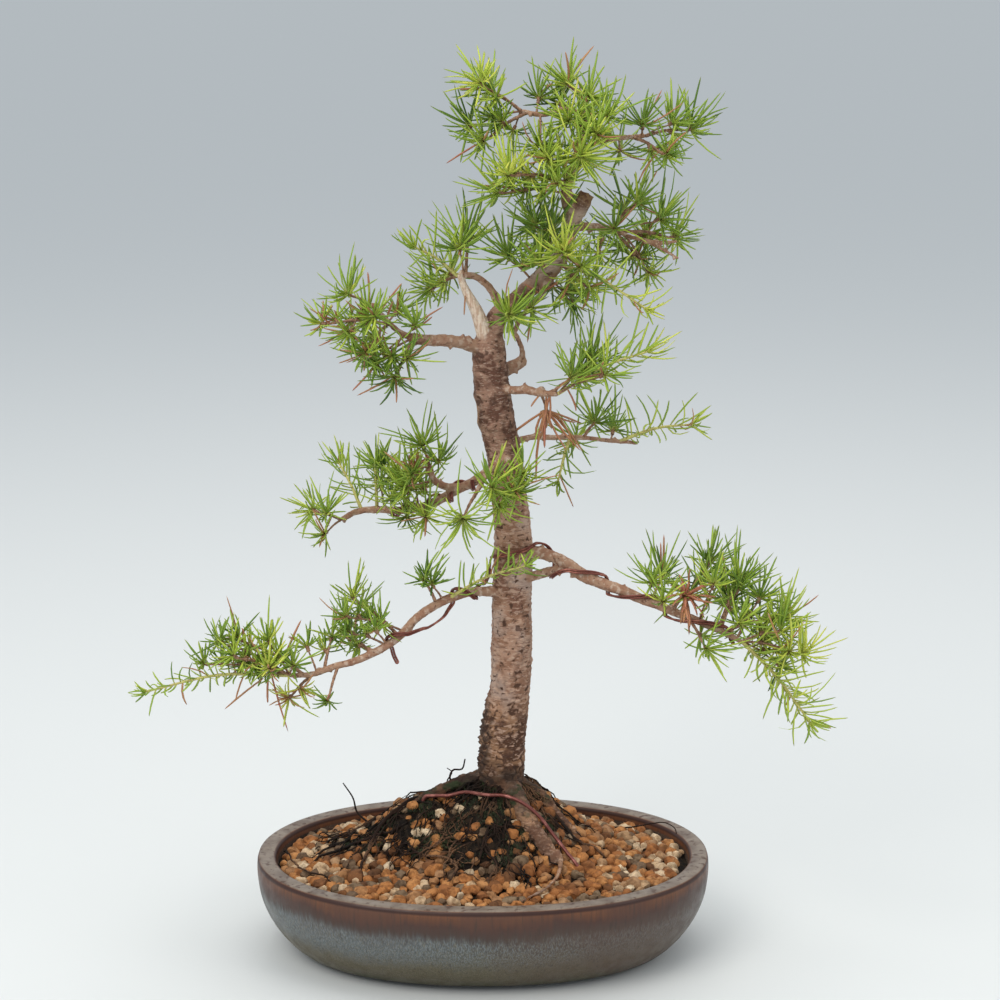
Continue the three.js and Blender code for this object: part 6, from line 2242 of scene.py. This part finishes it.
    def bristle(
        self, roots: np.ndarray, ways: np.ndarray, axes: np.ndarray, lengths: np.ndarray, open_by: float
    ) -> None:
        """Adds needles with their bends and tones.

        Args:
            roots: where they start.
            ways: their directions.
            axes: the direction of the spur or the stem at each.
            lengths: their lengths.
            open_by: how far they bend away from the axis, or toward it below 0.
        """
        count, draws = len(roots), self.draws
        lengths = lengths * self.spray.long * self.LIMB_LENGTHS.get(self.spray.limb, 1.0)
        opening = open_by * draws.uniform(0.2, 2.0, (count, 1))
        bends = unit(ways - axes * (ways * axes).sum(axis=1, keepdims=True)) * opening
        rise = -0.30 if self.dead else 0.24
        sway = draws.normal(0, 0.10, 3)
        bends = bends + draws.normal(0, 0.25, (count, 3)) + sway + np.array([0, 0, rise])
        width = self.WIDTH * (1.35 if self.dead else 1.0)
        placed = self.needle.placed(roots, ways, lengths, width, bends * lengths[:, None])
        tone = self.spray.tone + draws.normal(0, 0.15, count) + draws.normal(0, 0.05)
        if self.spray.form is Form.SHOOT:
            tone = tone - 0.10
        dry = np.where(draws.uniform(size=count) < self.spray.rusty, 0.85, 0.0)
        if self.dead:
            dry = draws.uniform(0.8, 1.0, count)
        marks = {"tone": np.clip(tone, 0, 1)[:, None], "dry": dry[:, None], "along": self.needle.along}
        self.copies.add(placed, self.needle.stamp.faces, 2, **marks)


class Hidden:
    """The nets and the staples, which keep their CAD form and get their finishes."""

    @staticmethod
    def dress() -> None:
        """Dresses the carried-over nodes."""
        for side in ("left", "right"):
            for name, finish in ((f"screen_{side}", NET), (f"clip_{side}", STAPLE)):
                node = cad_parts[name]
                node.data.materials.clear()
                node.data.materials.append(finish.material())


@dataclass
class Studio:
    """The plain pale floor, the soft lights and the camera."""

    LENS = 84.6
    SENSOR = 36.0
    CLIP = (0.05, 4000.0)
    CAMERA_PLACE = (0.0102, -1.3348, 0.5585)
    CAMERA_TILT = 77.92
    SKY = (0.69, 0.715, 0.74)
    HORIZON = (0.447, 0.493, 0.517)
    HORIZON_RISE = (0.03, 0.30)
    LIGHTS = (
        ("key", (-0.95, -1.35, 1.75), 1.3, 24.0, (1.0, 0.935, 0.85)),
        ("side", (1.5, -0.7, 1.15), 1.2, 6.0, (1.0, 0.93, 0.84)),
        ("top", (0.1, 0.25, 2.1), 1.7, 17.0, (1.0, 0.945, 0.87)),
    )
    FLOOR_REACH = 900.0
    FLOOR_HEIGHT = -0.0004
    AIM = (0.0, 0.0, 0.2)

    def build(self) -> None:
        """Builds the floor, the world, the lights and the camera."""
        place = {"size": 2 * self.FLOOR_REACH, "location": (0, 0, self.FLOOR_HEIGHT)}
        floor = Bench.primitive("plane", "floor", **place)
        floor.data.materials.append(FLOOR.material())
        floor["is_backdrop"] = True
        self.air()
        for name, place, size, watts, colour in self.LIGHTS:
            self.light(name, place, size, watts, colour)
        data = bpy.data.cameras.new("camera")
        data.lens = self.LENS
        data.sensor_width = self.SENSOR
        data.clip_start, data.clip_end = self.CLIP
        camera = bpy.data.objects.new("camera", data)
        camera.location = self.CAMERA_PLACE
        camera.rotation_euler = (math.radians(self.CAMERA_TILT), 0.0, 0.0)
        bpy.context.scene.collection.objects.link(camera)
        bpy.context.scene.camera = camera
        bpy.context.scene.view_settings.view_transform = "Standard"

    def air(self) -> None:
        """Builds the soft light from all round, as dark at the horizon as the far floor."""
        world = bpy.data.worlds.new("soft_air")
        world.use_nodes = True
        board = Board(world.node_tree)
        way = board.node("TexCoord").outputs["Generated"]
        share = board.range(board.fed("SeparateXYZ", {0: way}, "Z"), *self.HORIZON_RISE)
        background = world.node_tree.nodes["Background"].inputs
        board.feed(background["Color"], board.blend(share, self.HORIZON, self.SKY))
        background["Strength"].default_value = 1.0
        bpy.context.scene.world = world

    def light(self, name: str, place: tuple, size: float, watts: float, colour: tuple) -> None:
        """Hangs one square light that faces the tree.

        Args:
            name: the light's name.
            place: where it hangs, in metres.
            size: its side.
            watts: its power.
            colour: its colour.
        """
        data = bpy.data.lights.new(name, "AREA")
        data.size = size
        data.energy = watts
        data.color = colour
        lamp = bpy.data.objects.new(name, data)
        lamp.location = place
        lamp.rotation_euler = (Vector(self.AIM) - Vector(place)).to_track_quat("-Z", "Y").to_euler()
        lamp.visible_camera = False
        bpy.context.scene.collection.objects.link(lamp)


def loose_needles(needle: NeedleShape, routes: dict) -> bpy.types.Object:
    """Lays the single rusty needles that stick out of the foliage, each from the nearest twig or limb.

    Args:
        needle: the needle to copy.
        routes: the limbs' routes.

    Returns:
        The piece.
    """
    draws = seeded("loose")
    wanted, ends = np.array(LOOSE_NEEDLES, float).transpose(1, 0, 2)
    anchors = [route.spaced(2.0)[0] for route in routes.values()]
    for spray in (*SPRAYS, *EXTRA_SPRAYS):
        along = np.linspace(0.1, 1, 12)[:, None]
        anchors.append(spray.start(routes) + along * np.array(spray.reach))
    anchors = np.vstack(anchors)
    nearest = ((anchors[None] - wanted[:, None]) ** 2).sum(axis=2).argmin(axis=1)
    starts = anchors[nearest]
    near = np.linalg.norm(starts - wanted, axis=1) < LOOSE_REACH
    starts, ways = starts[near], (ends - starts)[near]
    long = np.linalg.norm(ways, axis=1)
    bends = draws.normal(0, 0.10, ways.shape) * long[:, None]
    placed = needle.placed(starts, unit(ways), long, 1.55, bends * 1.6)
    copies = Copies()
    dry = draws.uniform(0.85, 1.0, (len(starts), 1))
    copies.add(placed, needle.stamp.faces, tone=0.5, dry=dry, along=needle.along)
    return deliver(copies.build("loose_needles"), "dead_needles", [NEEDLE])


def grow_foliage(routes: dict) -> None:
    """Grows every spray from its limb, and the ones that only the scene has."""
    needle = NeedleShape()
    for spray in SPRAYS:
        Foliage(spray, spray.start(routes), needle, f"spray_{spray.name}").build()
    for spray in DRY_BUNCHES:
        Foliage(spray, spray.start(routes), needle, f"needles_{spray.name}", dead=True).build()
    for spray in EXTRA_SPRAYS:
        Foliage(spray, spray.start(routes), needle).build()
    loose_needles(needle, routes)


def main() -> None:
    """Builds the tree, its soil and its pot, and the studio round them."""
    logging.basicConfig(level=logging.INFO, format="%(message)s")
    Pot().build()
    SoilBed().build()
    Grains().build()
    Moss().build()
    FineRoots().build()
    wood = Wood(0.85)
    wood.build()
    Wires(wood.routes).build()
    grow_foliage(wood.routes)
    Hidden.dress()
    Studio().build()
    sizes = {"cad": CAD_BOX, "finished": [list(corner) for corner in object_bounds()]}
    {key: [[float(part) for part in corner] for corner in box] for key, box in sizes.items()}


if __name__ == "__main__":
    main()
